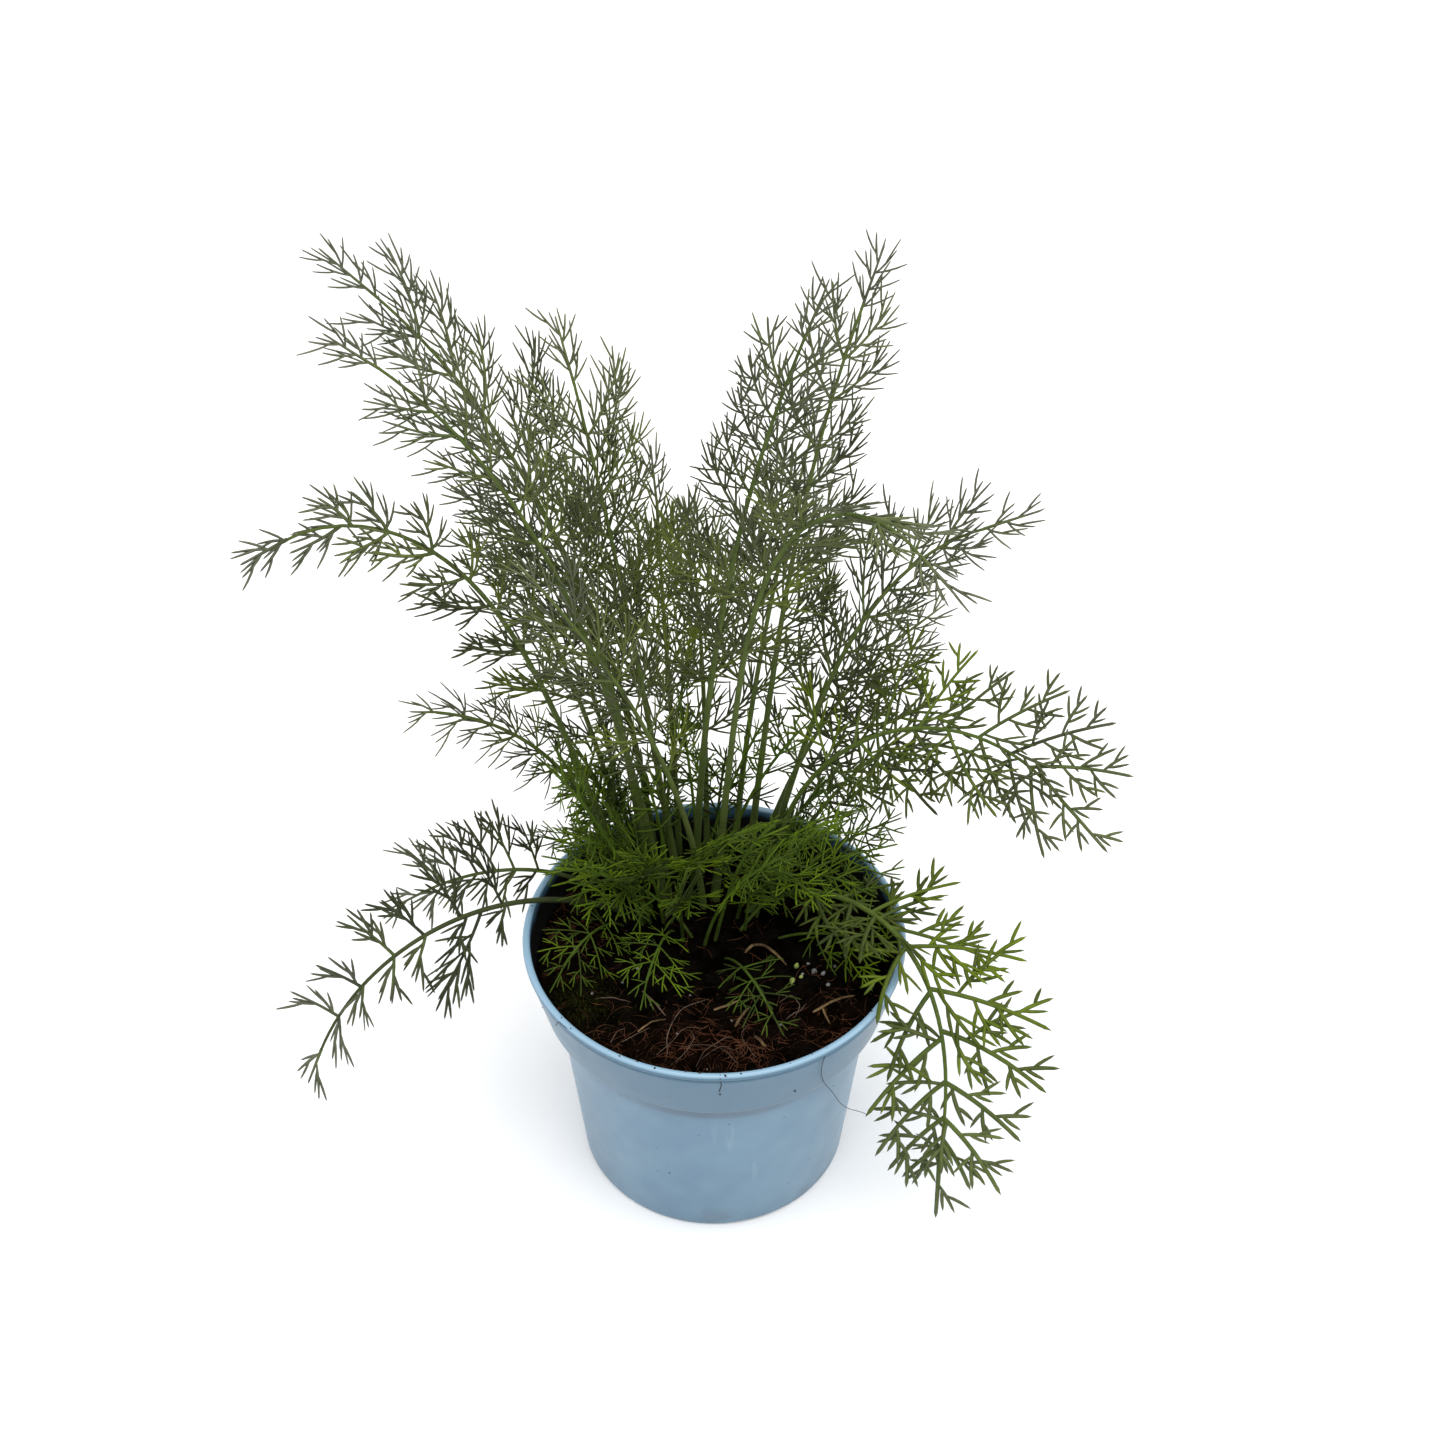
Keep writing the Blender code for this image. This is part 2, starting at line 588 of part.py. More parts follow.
class FrondBuilder:
    """Chooses the branches of one frond so that they stay clear of other leaves."""

    BENDS = (0, 15, -15, 30, -30, 45, -45, 60, -60)

    def __init__(self, spine: Spine, taken: Taken, seed: int):
        self.spine = spine
        self.frond = spine.frond
        self.taken = taken
        self.draw = random.Random(seed)
        self.branches = []

    def add_branch(self, share: float, hand: int, angle: float, length: float):
        """Side branch with its leaflets, bent clear of its neighbours where it can be."""
        name = self.frond.name
        root = self.spine.point(share)
        forward, side, up = self.spine.axes(share)
        lift = self.draw.uniform(-1, 1) * self.frond.style.spread
        for shorter in (1, 0.75, 0.5):
            for bend in self.BENDS:
                direction = tilted(forward, side * hand, up, angle, lift + bend)
                clear_root = root + direction * self.spine.radius(share)
                end = root + direction * length * shorter
                if self.taken.is_clear(name, clear_root, end, BRANCH_RADIUS):
                    leaflets = self.leaflets(root, direction, length * shorter, up)
                    self.taken.add(name, root, end, BRANCH_RADIUS)
                    self.branches.append(Branch(root, end, up, leaflets))
                    return

    def leaflets(self, root: Vector, direction: Vector, length: float, up: Vector) -> tuple:
        """Leaflets in pairs along a branch, longest near its root, where they are clear."""
        style = self.frond.style
        name = self.frond.name
        count = round(length / style.leaflet_gap) - 1
        side = direction.cross(up).normalized()
        above = side.cross(direction)
        chosen = []
        for number in range(count):
            place = (number + 0.9) / (count + 0.8)
            size = max(length * style.leaflet_share * (1 - place) ** 0.6, LEAFLET_SHORTEST)
            start = root + direction * length * place
            for hand in (1, -1):
                lift = self.draw.uniform(0, 1) * style.spread
                out = tilted(direction, side * hand, above, style.leaflet_angle, lift)
                end = start + out * size
                if self.taken.is_clear(name, start, end, LEAFLET_RADIUS):
                    self.taken.add(name, start, end, LEAFLET_RADIUS)
                    chosen.append((length * place, hand, end))
        return tuple(chosen)

    def choose_branches(self):
        """Work out every branch of the frond, the one at its tip first."""
        frond = self.frond
        left, right = (reach * MM for reach in frond.reach)
        self.add_branch(TIP_PLACE, 1, 0, max(left, right) * TIP_LENGTH)
        for number in range(frond.pairs):
            place = (number / frond.pairs) ** 0.9
            share = blend(frond.bare, LAST_PAIR, place)
            for hand, reach in ((1, left), (-1, right)):
                angle = blend(*frond.style.branch_angle, place) + self.draw.uniform(-5, 5)
                length = reach * branch_outline(place) * self.draw.uniform(0.9, 1.1)
                offset = self.draw.uniform(-0.012, 0.012)
                self.add_branch(share + offset, hand, angle, length)

    def build(self, parts) -> bpy.types.Object:
        """Fuse the branches to the stalk as one body."""
        stalk = build_stalk(self.spine, parts)
        loose = new_collection(f"{self.frond.name}_branches")
        for branch in self.branches:
            build_branch(branch, loose)
        union = stalk.modifiers.new("union", "BOOLEAN")
        union.operation = "UNION"
        union.operand_type = "COLLECTION"
        union.collection = loose
        union.solver = "MANIFOLD"
        fused = evaluated_mesh(stalk)
        stalk.modifiers.clear()
        stalk.data = fused
        for body in list(loose.objects):
            bpy.data.objects.remove(body)
        bpy.data.collections.remove(loose)
        shade = self.draw.uniform(0.85, 1.15)
        colour = tuple(shade * part for part in self.frond.style.colour)
        stalk.data.materials.append(new_material(f"{self.frond.name}_green", colour, 0.6))
        return stalk


def reserve_stalks(spines: list, taken: Taken):
    """Fill the space of every stalk before any branch is chosen."""
    pieces = 16
    for spine in spines:
        for number in range(pieces):
            start, end = number / pieces, (number + 1) / pieces
            taken.add(spine.frond.name, spine.point(start), spine.point(end), spine.radius(start))


def main():
    """Build the pot, the compost and the leaves."""
    clear_scene()
    parts = new_collection("potted_fennel")
    cutters = new_collection("cutters")
    pot_cutters = bpy.data.collections.new("pot_cutters")
    soil_cutters = bpy.data.collections.new("soil_cutters")
    cutters.children.link(pot_cutters)
    cutters.children.link(soil_cutters)
    pot = build_pot(parts, pot_cutters)
    spines = [Spine(frond) for frond in FRONDS]
    soil = build_soil(parts, soil_cutters, spines)
    taken = Taken()
    reserve_stalks(spines, taken)
    for number, spine in enumerate(spines):
        builder = FrondBuilder(spine, taken, seed=number)
        builder.choose_branches()
        builder.build(parts)
    for body in (pot, soil):
        body.data.shade_smooth()
    pot.data.set_sharp_from_angle(angle=math.radians(40))


main()
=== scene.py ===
"""Potted fennel, dressed: finely cut leaves, a moulded pot and fibrous compost.

Units are metres. +Z is up, -Y is the front, and the origin is the centre of the pot's
underside, as in the solids. Every piece here stands for one of the solids, lies on one or
grows among them.
"""

from __future__ import annotations

import logging
import math
import random
from dataclasses import dataclass, field, fields
from enum import Enum
from functools import cache

import bmesh
import bpy
import numpy as np
from mathutils import Matrix, Quaternion, Vector, noise

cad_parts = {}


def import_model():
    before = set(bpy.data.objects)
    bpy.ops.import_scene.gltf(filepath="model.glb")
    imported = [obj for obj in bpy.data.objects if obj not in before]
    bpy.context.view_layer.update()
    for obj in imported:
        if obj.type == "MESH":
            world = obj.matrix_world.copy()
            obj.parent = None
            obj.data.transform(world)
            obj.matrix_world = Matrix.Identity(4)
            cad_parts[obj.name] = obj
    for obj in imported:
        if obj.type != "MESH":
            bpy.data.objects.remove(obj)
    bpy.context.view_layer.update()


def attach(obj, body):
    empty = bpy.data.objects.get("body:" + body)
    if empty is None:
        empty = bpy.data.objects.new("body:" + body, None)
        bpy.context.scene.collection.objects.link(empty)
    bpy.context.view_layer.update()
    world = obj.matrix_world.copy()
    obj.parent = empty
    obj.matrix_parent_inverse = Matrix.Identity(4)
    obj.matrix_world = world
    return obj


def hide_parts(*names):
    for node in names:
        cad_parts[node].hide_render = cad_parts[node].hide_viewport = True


LOG = logging.getLogger("potted_fennel")
MM = 0.001
Triple = tuple[float, float, float]
Colour = Triple
Strand = tuple[float, tuple[Triple, ...]]

# Share of a line that still lies on its last step
NEARLY_ONE = 0.9999

# Sizes that the pot, the compost and the leaves share
POT_HEIGHT = 100 * MM
RIM_RADIUS = 65 * MM
BASE_RADIUS = 46.9 * MM
COLLAR_FOOT = POT_HEIGHT - 24.7 * MM
COLLAR_FOOT_RADIUS = 59.3 * MM
SHOULDER_FOOT = COLLAR_FOOT - 4.6 * MM
BODY_TOP_RADIUS = COLLAR_FOOT_RADIUS - 5.4 * MM
WALL = 1.8 * MM
FLOOR = 2.2 * MM
LIP_RADIUS = 1.3 * MM

# How far leaves stay off the pot and the compost, and off the ground
CLEARANCE = 0.5 * MM
OFF_GROUND = 2 * MM

# The compost's top: broad lumps, crumbs and pits, each with its height and its size
SOIL_LEVEL = POT_HEIGHT - 11.5 * MM
SOIL_RELIEF = 1.6 * MM
SOIL_LUMP = 16 * MM
CRUMB_RELIEF = 0.9 * MM
CRUMBS_PER_METRE = 160
PIT_RELIEF = 0.25 * MM
PITS_PER_METRE = 900


def blend(start: float, end: float, share: float) -> float:
    """Value that lies the given share of the way from start to end."""
    return start + (end - start) * share


def polar(radius: float, turn: float) -> tuple[float, float]:
    """Place at a distance from the pot's axis, at an angle in radians about it."""
    return radius * math.cos(turn), radius * math.sin(turn)


def unit(vectors: np.ndarray) -> np.ndarray:
    """Vectors along the last axis, scaled to length one."""
    return vectors / np.maximum(np.linalg.norm(vectors, axis=-1, keepdims=True), 1e-12)


def eased(line: np.ndarray, times: int = 1) -> np.ndarray:
    """Draw the inner points of a line towards their neighbours, in place.

    Args:
        line: the points, or one coordinate of each
        times: how often

    Returns:
        the same line
    """
    for _ in range(times):
        line[1:-1] = (line[:-2] + 2 * line[1:-1] + line[2:]) / 4
    return line


def through(knots: np.ndarray, rings: int) -> np.ndarray:
    """Points on the straight lines between knots, the same number between each two.

    Args:
        knots: corners, one row each
        rings: number of points

    Returns:
        the points, one row each
    """
    spots = np.linspace(0, len(knots) - 1, rings)
    return np.stack([np.interp(spots, range(len(knots)), axis) for axis in knots.T], -1)


def wall_radii(heights: np.ndarray) -> np.ndarray:
    """Radius of the pot's outer face at each height: body, shoulder, then collar.

    Args:
        heights: heights above the ground

    Returns:
        a radius for each
    """
    levels = (0, SHOULDER_FOOT, COLLAR_FOOT, POT_HEIGHT)
    radii = (BASE_RADIUS, BODY_TOP_RADIUS, COLLAR_FOOT_RADIUS, RIM_RADIUS)
    return np.interp(heights, levels, radii)


def wall_outside(height: float) -> float:
    """Radius of the pot's outer face at one height."""
    return float(wall_radii(height))


def soil_height(x: float, y: float) -> float:
    """Height of the compost's broad lumps at a point of the pot."""
    return SOIL_LEVEL + SOIL_RELIEF * noise.noise(Vector((x / SOIL_LUMP, y / SOIL_LUMP, 0.5)))


def soil_top(x: float, y: float) -> float:
    """Height of the compost's top with its crumbs and pits.

    Args:
        x: place
        y: place

    Returns:
        the height
    """
    place = Vector((x, y, 0.3))
    crumbs = noise.fractal(place * CRUMBS_PER_METRE, 0.8, 2.1, 4) * CRUMB_RELIEF
    return soil_height(x, y) + crumbs + noise.noise(place * PITS_PER_METRE) * PIT_RELIEF


@dataclass(frozen=True)
class Patch:
    """Soft-edged patch of the compost: its middle and half its size in mm, and its strength."""

    x: float
    y: float
    width: float
    depth: float
    strength: float = 1.0

    def share(self, x: float, y: float) -> float:
        """How strongly the patch shows at a point, 0 to 1.

        Args:
            x: place in metres
            y: place in metres

        Returns:
            the share
        """
        across = (x - self.x * MM) / (self.width * MM)
        along = (y - self.y * MM) / (self.depth * MM)
        return self.strength * math.exp(-(across**2) - along**2)


COIR_PATCHES = (
    Patch(-1, -42, 22, 14),
    Patch(-51, 8, 9, 20, 0.9),
    Patch(-32, -42, 10, 8, 0.6),
    Patch(42, -30, 13, 10, 0.7),
)
MOSS_PATCH = Patch(-45, -22, 9, 10)


def coir_share(x: float, y: float) -> float:
    """How brown and fibrous the compost is at a point, 0 to 1."""
    return min(sum(patch.share(x, y) for patch in COIR_PATCHES), 1.0)


def new_object(name: str, data: bpy.types.ID) -> bpy.types.Object:
    """Make an object of a mesh, a light or a camera, linked to the scene.

    Args:
        name: the object's name
        data: its mesh, light or camera

    Returns:
        the object
    """
    thing = bpy.data.objects.new(name, data)
    bpy.context.scene.collection.objects.link(thing)
    return thing


def triangles(piece: bpy.types.Object) -> int:
    """Number of triangles in a piece's mesh."""
    return sum(len(face.vertices) - 2 for face in piece.data.polygons)


def enrol(
    piece: bpy.types.Object, finish: bpy.types.Material, slot: str, *stands_for: str
) -> None:
    """Dress a piece, fix it to the pot, name its material slot, and report it.

    Args:
        piece: the object
        finish: its material
        slot: not used
        stands_for: solids that it replaces, if any
    """
    piece.data.materials.append(finish)
    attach(piece, "root")
    if stands_for:
        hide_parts(*stands_for)
    LOG.info("%s: %d triangles", piece.name, triangles(piece))


class Graph:
    """Small helper that adds and joins the nodes of one shader tree."""

    def __init__(self, tree: bpy.types.NodeTree) -> None:
        """Work on one shader tree."""
        self.tree = tree

    def add(self, kind: str, **settings: object) -> bpy.types.Node:
        """Add a node.

        Args:
            kind: name of the node's type without its ShaderNode prefix
            settings: the node's own properties

        Returns:
            the new node
        """
        node = self.tree.nodes.new(kind if kind.startswith("Node") else f"ShaderNode{kind}")
        for name, value in settings.items():
            setattr(node, name, value)
        return node

    def feed(self, socket: bpy.types.NodeSocket, value: object) -> None:
        """Join a socket to another node's output, or set its value.

        Args:
            socket: the input
            value: an output socket, a number, or a colour of three numbers
        """
        if isinstance(value, bpy.types.NodeSocket):
            self.tree.links.new(value, socket)
        elif isinstance(value, tuple) and len(value) == 3 and len(socket.default_value) == 4:
            socket.default_value = (*value, 1)
        else:
            socket.default_value = value

    def mix(
        self, share: object, first: object, second: object, blend_type: str = "MIX"
    ) -> object:
        """Mix two colours.

        Args:
            share: how much of the second, a socket or a number
            first: colour or socket
            second: colour or socket
            blend_type: how they are mixed

        Returns:
            the mixed colour's socket
        """
        node = self.add("Mix", data_type="RGBA", blend_type=blend_type)
        self.feed(node.inputs[0], share)
        self.feed(node.inputs[6], first)
        self.feed(node.inputs[7], second)
        return node.outputs[2]

    def ramp(self, value: object, low: float, high: float) -> object:
        """Share of the way from low to high, smoothed and clamped.

        Args:
            value: socket to read
            low: value that gives 0
            high: value that gives 1

        Returns:
            the share's socket
        """
        node = self.add("MapRange", interpolation_type="SMOOTHSTEP")
        self.feed(node.inputs[0], value)
        node.inputs[1].default_value = low
        node.inputs[2].default_value = high
        return node.outputs[0]

    def math(
        self, operation: str, first: object, second: object = 0.0, third: object = 0.0
    ) -> object:
        """One arithmetic step.

        Args:
            operation: Blender's name for it
            first: number or socket
            second: number or socket
            third: number or socket, where the step has three

        Returns:
            the result's socket
        """
        node = self.add("Math", operation=operation)
        self.feed(node.inputs[0], first)
        self.feed(node.inputs[1], second)
        self.feed(node.inputs[2], third)
        return node.outputs[0]

    def times(self, first: object, second: object) -> object:
        """Product of two values."""
        return self.math("MULTIPLY", first, second)

    def scaled(self, value: object, factor: object, plus: object) -> object:
        """Value times a factor, plus another value."""
        return self.math("MULTIPLY_ADD", value, factor, plus)

    def larger(self, first: object, second: object) -> object:
        """The larger of two values."""
        return self.math("MAXIMUM", first, second)

    def place(self, stretch: Triple = (1, 1, 1)) -> object:
        """Socket of the object's own coordinates, stretched along each axis.

        Args:
            stretch: factor on each axis

        Returns:
            the coordinates' socket
        """
        mapping = self.add("Mapping")
        self.feed(mapping.inputs[0], self.add("TexCoord").outputs["Object"])
        mapping.inputs["Scale"].default_value = stretch
        return mapping.outputs[0]

    def noise(self, scale: object, detail: float, stretch: Triple = (1, 1, 1)) -> object:
        """Noise over the object's own coordinates.

        Args:
            scale: features per metre
            detail: octaves
            stretch: factor on each axis

        Returns:
            the noise value's socket
        """
        node = self.add("TexNoise")
        self.feed(node.inputs["Vector"], self.place(stretch))
        self.feed(node.inputs["Scale"], scale)
        node.inputs["Detail"].default_value = detail
        return node.outputs[0]

    def bump(self, height: object, strength: float, distance: float) -> object:
        """Normal socket of a bump.

        Args:
            height: socket of the height
            strength: 0 to 1
            distance: height of the bumps

        Returns:
            the normal's socket
        """
        node = self.add("Bump")
        node.inputs["Strength"].default_value = strength
        node.inputs["Distance"].default_value = distance
        self.feed(node.inputs["Height"], height)
        return node.outputs[0]


class Effects:
    """Shader node groups that more than one finish uses, each made once."""

    @staticmethod
    def start(
        name: str, inputs: dict[str, str], outputs: dict[str, str]
    ) -> tuple[Graph, bpy.types.NodeOutputs, bpy.types.NodeInputs]:
        """Make an empty group with its sockets.

        Args:
            name: the group's name
            inputs: input names and kinds, Float or Color
            outputs: output names and kinds

        Returns:
            the group's graph, the sockets of what it is given, and those of what it puts out
        """
        tree = bpy.data.node_groups.new(name, "ShaderNodeTree")
        for way, labels in (("INPUT", inputs), ("OUTPUT", outputs)):
            for label, kind in labels.items():
                tree.interface.new_socket(label, in_out=way, socket_type=f"NodeSocket{kind}")
        graph = Graph(tree)
        return graph, graph.add("NodeGroupInput").outputs, graph.add("NodeGroupOutput").inputs

    @staticmethod
    @cache
    def mottle() -> bpy.types.NodeTree:
        """Soft change between two colours, in broad and in fine patches.

        Returns:
            the group
        """
        inputs = {"First": "Color", "Second": "Color", "Scale": "Float"}
        outputs = {"Colour": "Color", "Mask": "Float"}
        graph, given, result = Effects.start("mottle", inputs, outputs)
        broad = graph.noise(given["Scale"], 3)
        fine = graph.noise(graph.times(given["Scale"], 4.3), 5)
        mask = graph.ramp(graph.scaled(broad, 0.65, graph.times(fine, 0.35)), 0.38, 0.62)
        graph.feed(result["Colour"], graph.mix(mask, given["First"], given["Second"]))
        graph.feed(result["Mask"], mask)
        return graph.tree

    @staticmethod
    @cache
    def specks() -> bpy.types.NodeTree:
        """Scattered small specks, as a mask.

        Returns:
            the group
        """
        inputs = {"Scale": "Float", "Size": "Float", "Share": "Float"}
        graph, given, result = Effects.start("specks", inputs, {"Mask": "Float"})
        cells = graph.add("TexVoronoi")
        graph.feed(cells.inputs["Vector"], graph.place())
        graph.feed(cells.inputs["Scale"], given["Scale"])
        near = graph.math("LESS_THAN", cells.outputs["Distance"], given["Size"])
        chosen = graph.add("SeparateColor")
        graph.feed(chosen.inputs[0], cells.outputs["Color"])
        kept = graph.math("LESS_THAN", chosen.outputs[0], given["Share"])
        graph.feed(result["Mask"], graph.times(near, kept))
        return graph.tree

    @staticmethod
    @cache
    def grain() -> bpy.types.NodeTree:
        """Fine uneven grain, as a height.

        Returns:
            the group
        """
        graph, given, result = Effects.start("grain", {"Scale": "Float"}, {"Height": "Float"})
        coarse = graph.noise(given["Scale"], 2)
        fine = graph.noise(graph.times(given["Scale"], 3.1), 4)
        graph.feed(result["Height"], graph.scaled(fine, 0.5, graph.times(coarse, 0.5)))
        return graph.tree


@dataclass
class Finish:
    """Material being made: its graph, its shader, and ways to place the shared effects."""

    name: str
    material: bpy.types.Material = field(init=False)
    graph: Graph = field(init=False)
    shader: bpy.types.Node = field(init=False)

    def __post_init__(self) -> None:
        """Start the material with its shader."""
        self.material = bpy.data.materials.new(self.name)
        self.material.use_nodes = True
        self.graph = Graph(self.material.node_tree)
        self.shader = self.material.node_tree.nodes["Principled BSDF"]

    def effect(self, tree: bpy.types.NodeTree, **values: object) -> bpy.types.Node:
        """Put an effect into the material.

        Args:
            tree: the effect
            values: input names and their values or sockets

        Returns:
            the group node
        """
        node = self.graph.add("Group", node_tree=tree)
        for name, value in values.items():
            self.graph.feed(node.inputs[name], value)
        return node

    def mottle(self, first: object, second: object, scale: float) -> bpy.types.Node:
        """Mottle between two colours."""
        return self.effect(Effects.mottle(), First=first, Second=second, Scale=scale)

    def grain(self, scale: float, strength: float, distance: float) -> None:
        """Give the surface a fine grain.

        Args:
            scale: grains per metre
            strength: 0 to 1
            distance: height of the grain
        """
        height = self.effect(Effects.grain(), Scale=scale).outputs["Height"]
        self.graph.feed(self.shader.inputs["Normal"], self.graph.bump(height, strength, distance))

    def colour(self, value: object) -> None:
        """Feed the base colour."""
        self.graph.feed(self.shader.inputs["Base Color"], value)

    def roughness(self, value: object) -> None:
        """Feed the roughness."""
        self.graph.feed(self.shader.inputs["Roughness"], value)

    def constant(self, socket: str, value: float) -> None:
        """Set what is the same all over the surface, on the shader's own socket."""
        self.shader.inputs[socket].default_value = value

    def attribute(self, name: str) -> object:
        """Socket of a value that the mesh carries at its points."""
        return self.graph.add("Attribute", attribute_name=name).outputs["Fac"]


@dataclass(frozen=True)
class PotFinish:
    """Satin moulded plastic with painted light: a painted highlight on the lip, painted shade on
    the collar's front and just below the collar, and a painted shadow under the collar's edge.

    A band holds where it starts and ends, above the collar's foot, and how soft its edges
    are. A share says how strongly a mark shows.
    """

    body: Colour = (0.07, 0.168, 0.266)
    pale: Colour = (0.092, 0.2, 0.295)
    # painted shade: the collar's front and a band just below the collar are darkened towards this
    # colour
    collar: Colour = (0.034, 0.112, 0.184)
    # painted highlight: the top of the lip is lightened towards this colour
    lip: Colour = (0.28, 0.44, 0.57)
    # painted shadow under the collar's edge
    crease_shadow: Colour = (0.018, 0.045, 0.08)
    scuff: Colour = (0.26, 0.36, 0.45)
    dirt: Colour = (0.07, 0.06, 0.045)
    # darker colour for the inside of the wall, below a patchy line near the rim
    soil: Colour = (0.008, 0.008, 0.008)
    # band of painted shade just below the collar
    painted_shade_band: Triple = (-10 * MM, 0, 5 * MM)
    # band of painted shadow under the collar's edge
    crease_shadow_band: Triple = (-9.2 * MM, 1.1 * MM, 0.9 * MM)
    painted_shade_share: float = 0.6
    crease_shadow_share: float = 0.5
    lip_highlight_share: float = 0.75
    scuff_share: float = 0.22
    splash_share: float = 0.3
    spot_share: float = 0.45
    splash_height: float = 16 * MM
    roughness: float = 0.4
    coat: float = 0.3
    coat_roughness: float = 0.3

    def band(self, graph: Graph, height: object, band: Triple) -> object:
        """Mask of a band of heights with soft edges.

        Args:
            graph: the material's graph
            height: socket of the height
            band: where it starts and ends above the collar's foot, and its softness

        Returns:
            the mask's socket
        """
        low, high, soft = COLLAR_FOOT + band[0], COLLAR_FOOT + band[1], band[2]
        rising = graph.ramp(height, low - soft, low + soft)
        return graph.times(rising, graph.ramp(height, high + soft, high - soft))

    def moulded(self, finish: Finish, depth: object, height: object) -> object:
        """Colour of the clean plastic, with painted shade on the collar's front and just below the
        collar, a painted shadow under the collar's edge and a painted highlight on the lip.

        Args:
            finish: the material being made
            depth: socket of the distance from front to back
            height: socket of the height

        Returns:
            the colour's socket
        """
        graph = finish.graph
        tone = finish.mottle(self.body, self.pale, 20.0).outputs["Colour"]
        # painted shade: the collar darker towards the front, and the body darker just below the
        # collar
        on_collar = graph.ramp(height, COLLAR_FOOT - 1 * MM, COLLAR_FOOT + 2 * MM)
        shaded = graph.scaled(graph.ramp(depth, -5 * MM, -55 * MM), 0.6, 0.4)
        below = graph.times(self.band(graph, height, self.painted_shade_band), self.painted_shade_share)
        deep = graph.larger(graph.times(on_collar, shaded), below)
        tone = graph.mix(deep, tone, self.collar)
        # painted shadow under the collar's edge: full at the front, in patches elsewhere
        at_front = graph.ramp(depth, -42 * MM, -54 * MM)
        patchy = graph.times(graph.ramp(graph.noise(34.0, 3), 0.4, 0.6), 0.3)
        crease_shadow = self.band(graph, height, self.crease_shadow_band)
        crease_shadow = graph.times(crease_shadow, graph.larger(at_front, patchy))
        tone = graph.mix(graph.times(crease_shadow, self.crease_shadow_share), tone, self.crease_shadow)
        # painted highlight along the top of the lip
        lip_highlight_mask = graph.ramp(height, POT_HEIGHT - 1.2 * MM, POT_HEIGHT - 0.3 * MM)
        return graph.mix(graph.times(lip_highlight_mask, self.lip_highlight_share), tone, self.lip)

    def inner_wall_darkening(self, graph: Graph, across: object, depth: object, height: object) -> object:
        """Mask of the inside of the wall that is darker: above the collar's foot, below a patchy
        line near the rim.

        Args:
            graph: the material's graph
            across: socket of the distance from left to right
            depth: socket of the distance from front to back
            height: socket of the height

        Returns:
            the mask's socket
        """
        radius = graph.math("SQRT", graph.scaled(depth, depth, graph.times(across, across)))
        slope = (RIM_RADIUS - COLLAR_FOOT_RADIUS) / (POT_HEIGHT - COLLAR_FOOT)
        outer = graph.scaled(height, slope, RIM_RADIUS - slope * POT_HEIGHT)
        inside = graph.ramp(graph.math("SUBTRACT", outer, radius), 0.8 * MM, 1.2 * MM)
        patchy = graph.scaled(graph.noise(60.0, 5), 8 * MM, height)
        low = graph.ramp(patchy, POT_HEIGHT + 2 * MM, POT_HEIGHT - 2 * MM)
        on_collar = graph.math("GREATER_THAN", height, COLLAR_FOOT)
        return graph.times(graph.times(inside, low), on_collar)

    def marks(self, finish: Finish, height: object) -> object:
        """Mask of the specks of dirt and the splashes low on the pot.

        Args:
            finish: the material being made
            height: socket of the height

        Returns:
            the mask's socket
        """
        graph = finish.graph
        large = finish.effect(Effects.specks(), Scale=150.0, Size=0.12, Share=0.03)
        small = finish.effect(Effects.specks(), Scale=420.0, Size=0.2, Share=0.02)
        spots = graph.larger(large.outputs["Mask"], small.outputs["Mask"])
        low = graph.ramp(height, self.splash_height, 0.0)
        splash = graph.times(graph.ramp(graph.noise(70.0, 6), 0.54, 0.7), low)
        splash = graph.times(splash, self.splash_share)
        return graph.larger(splash, graph.times(spots, self.spot_share))

    def make(self) -> bpy.types.Material:
        """Build the material.

        Returns:
            the material
        """
        finish = Finish("pot_plastic")
        graph = finish.graph
        place = graph.add("SeparateXYZ")
        graph.feed(place.inputs[0], graph.place())
        across, depth, height = place.outputs
        tone = self.moulded(finish, depth, height)
        scratch = graph.ramp(graph.noise(260.0, 2, stretch=(1, 1, 0.1)), 0.6, 0.72)
        rubbed = graph.times(scratch, graph.ramp(graph.noise(28.0, 2), 0.5, 0.7))
        tone = graph.mix(graph.times(rubbed, self.scuff_share), tone, self.scuff)
        # the inside of the wall darker below a patchy line near the rim
        tone = graph.mix(self.inner_wall_darkening(graph, across, depth, height), tone, self.soil)
        dirty = self.marks(finish, height)
        finish.colour(graph.mix(dirty, tone, self.dirt))
        wear = graph.scaled(graph.noise(130.0, 5), 0.16, self.roughness - 0.08)
        finish.roughness(graph.math("ADD", wear, graph.times(dirty, 0.3)))
        finish.constant("Coat Weight", self.coat)
        finish.constant("Coat Roughness", self.coat_roughness)
        finish.grain(700.0, 0.12, 0.2 * MM)
        return finish.material


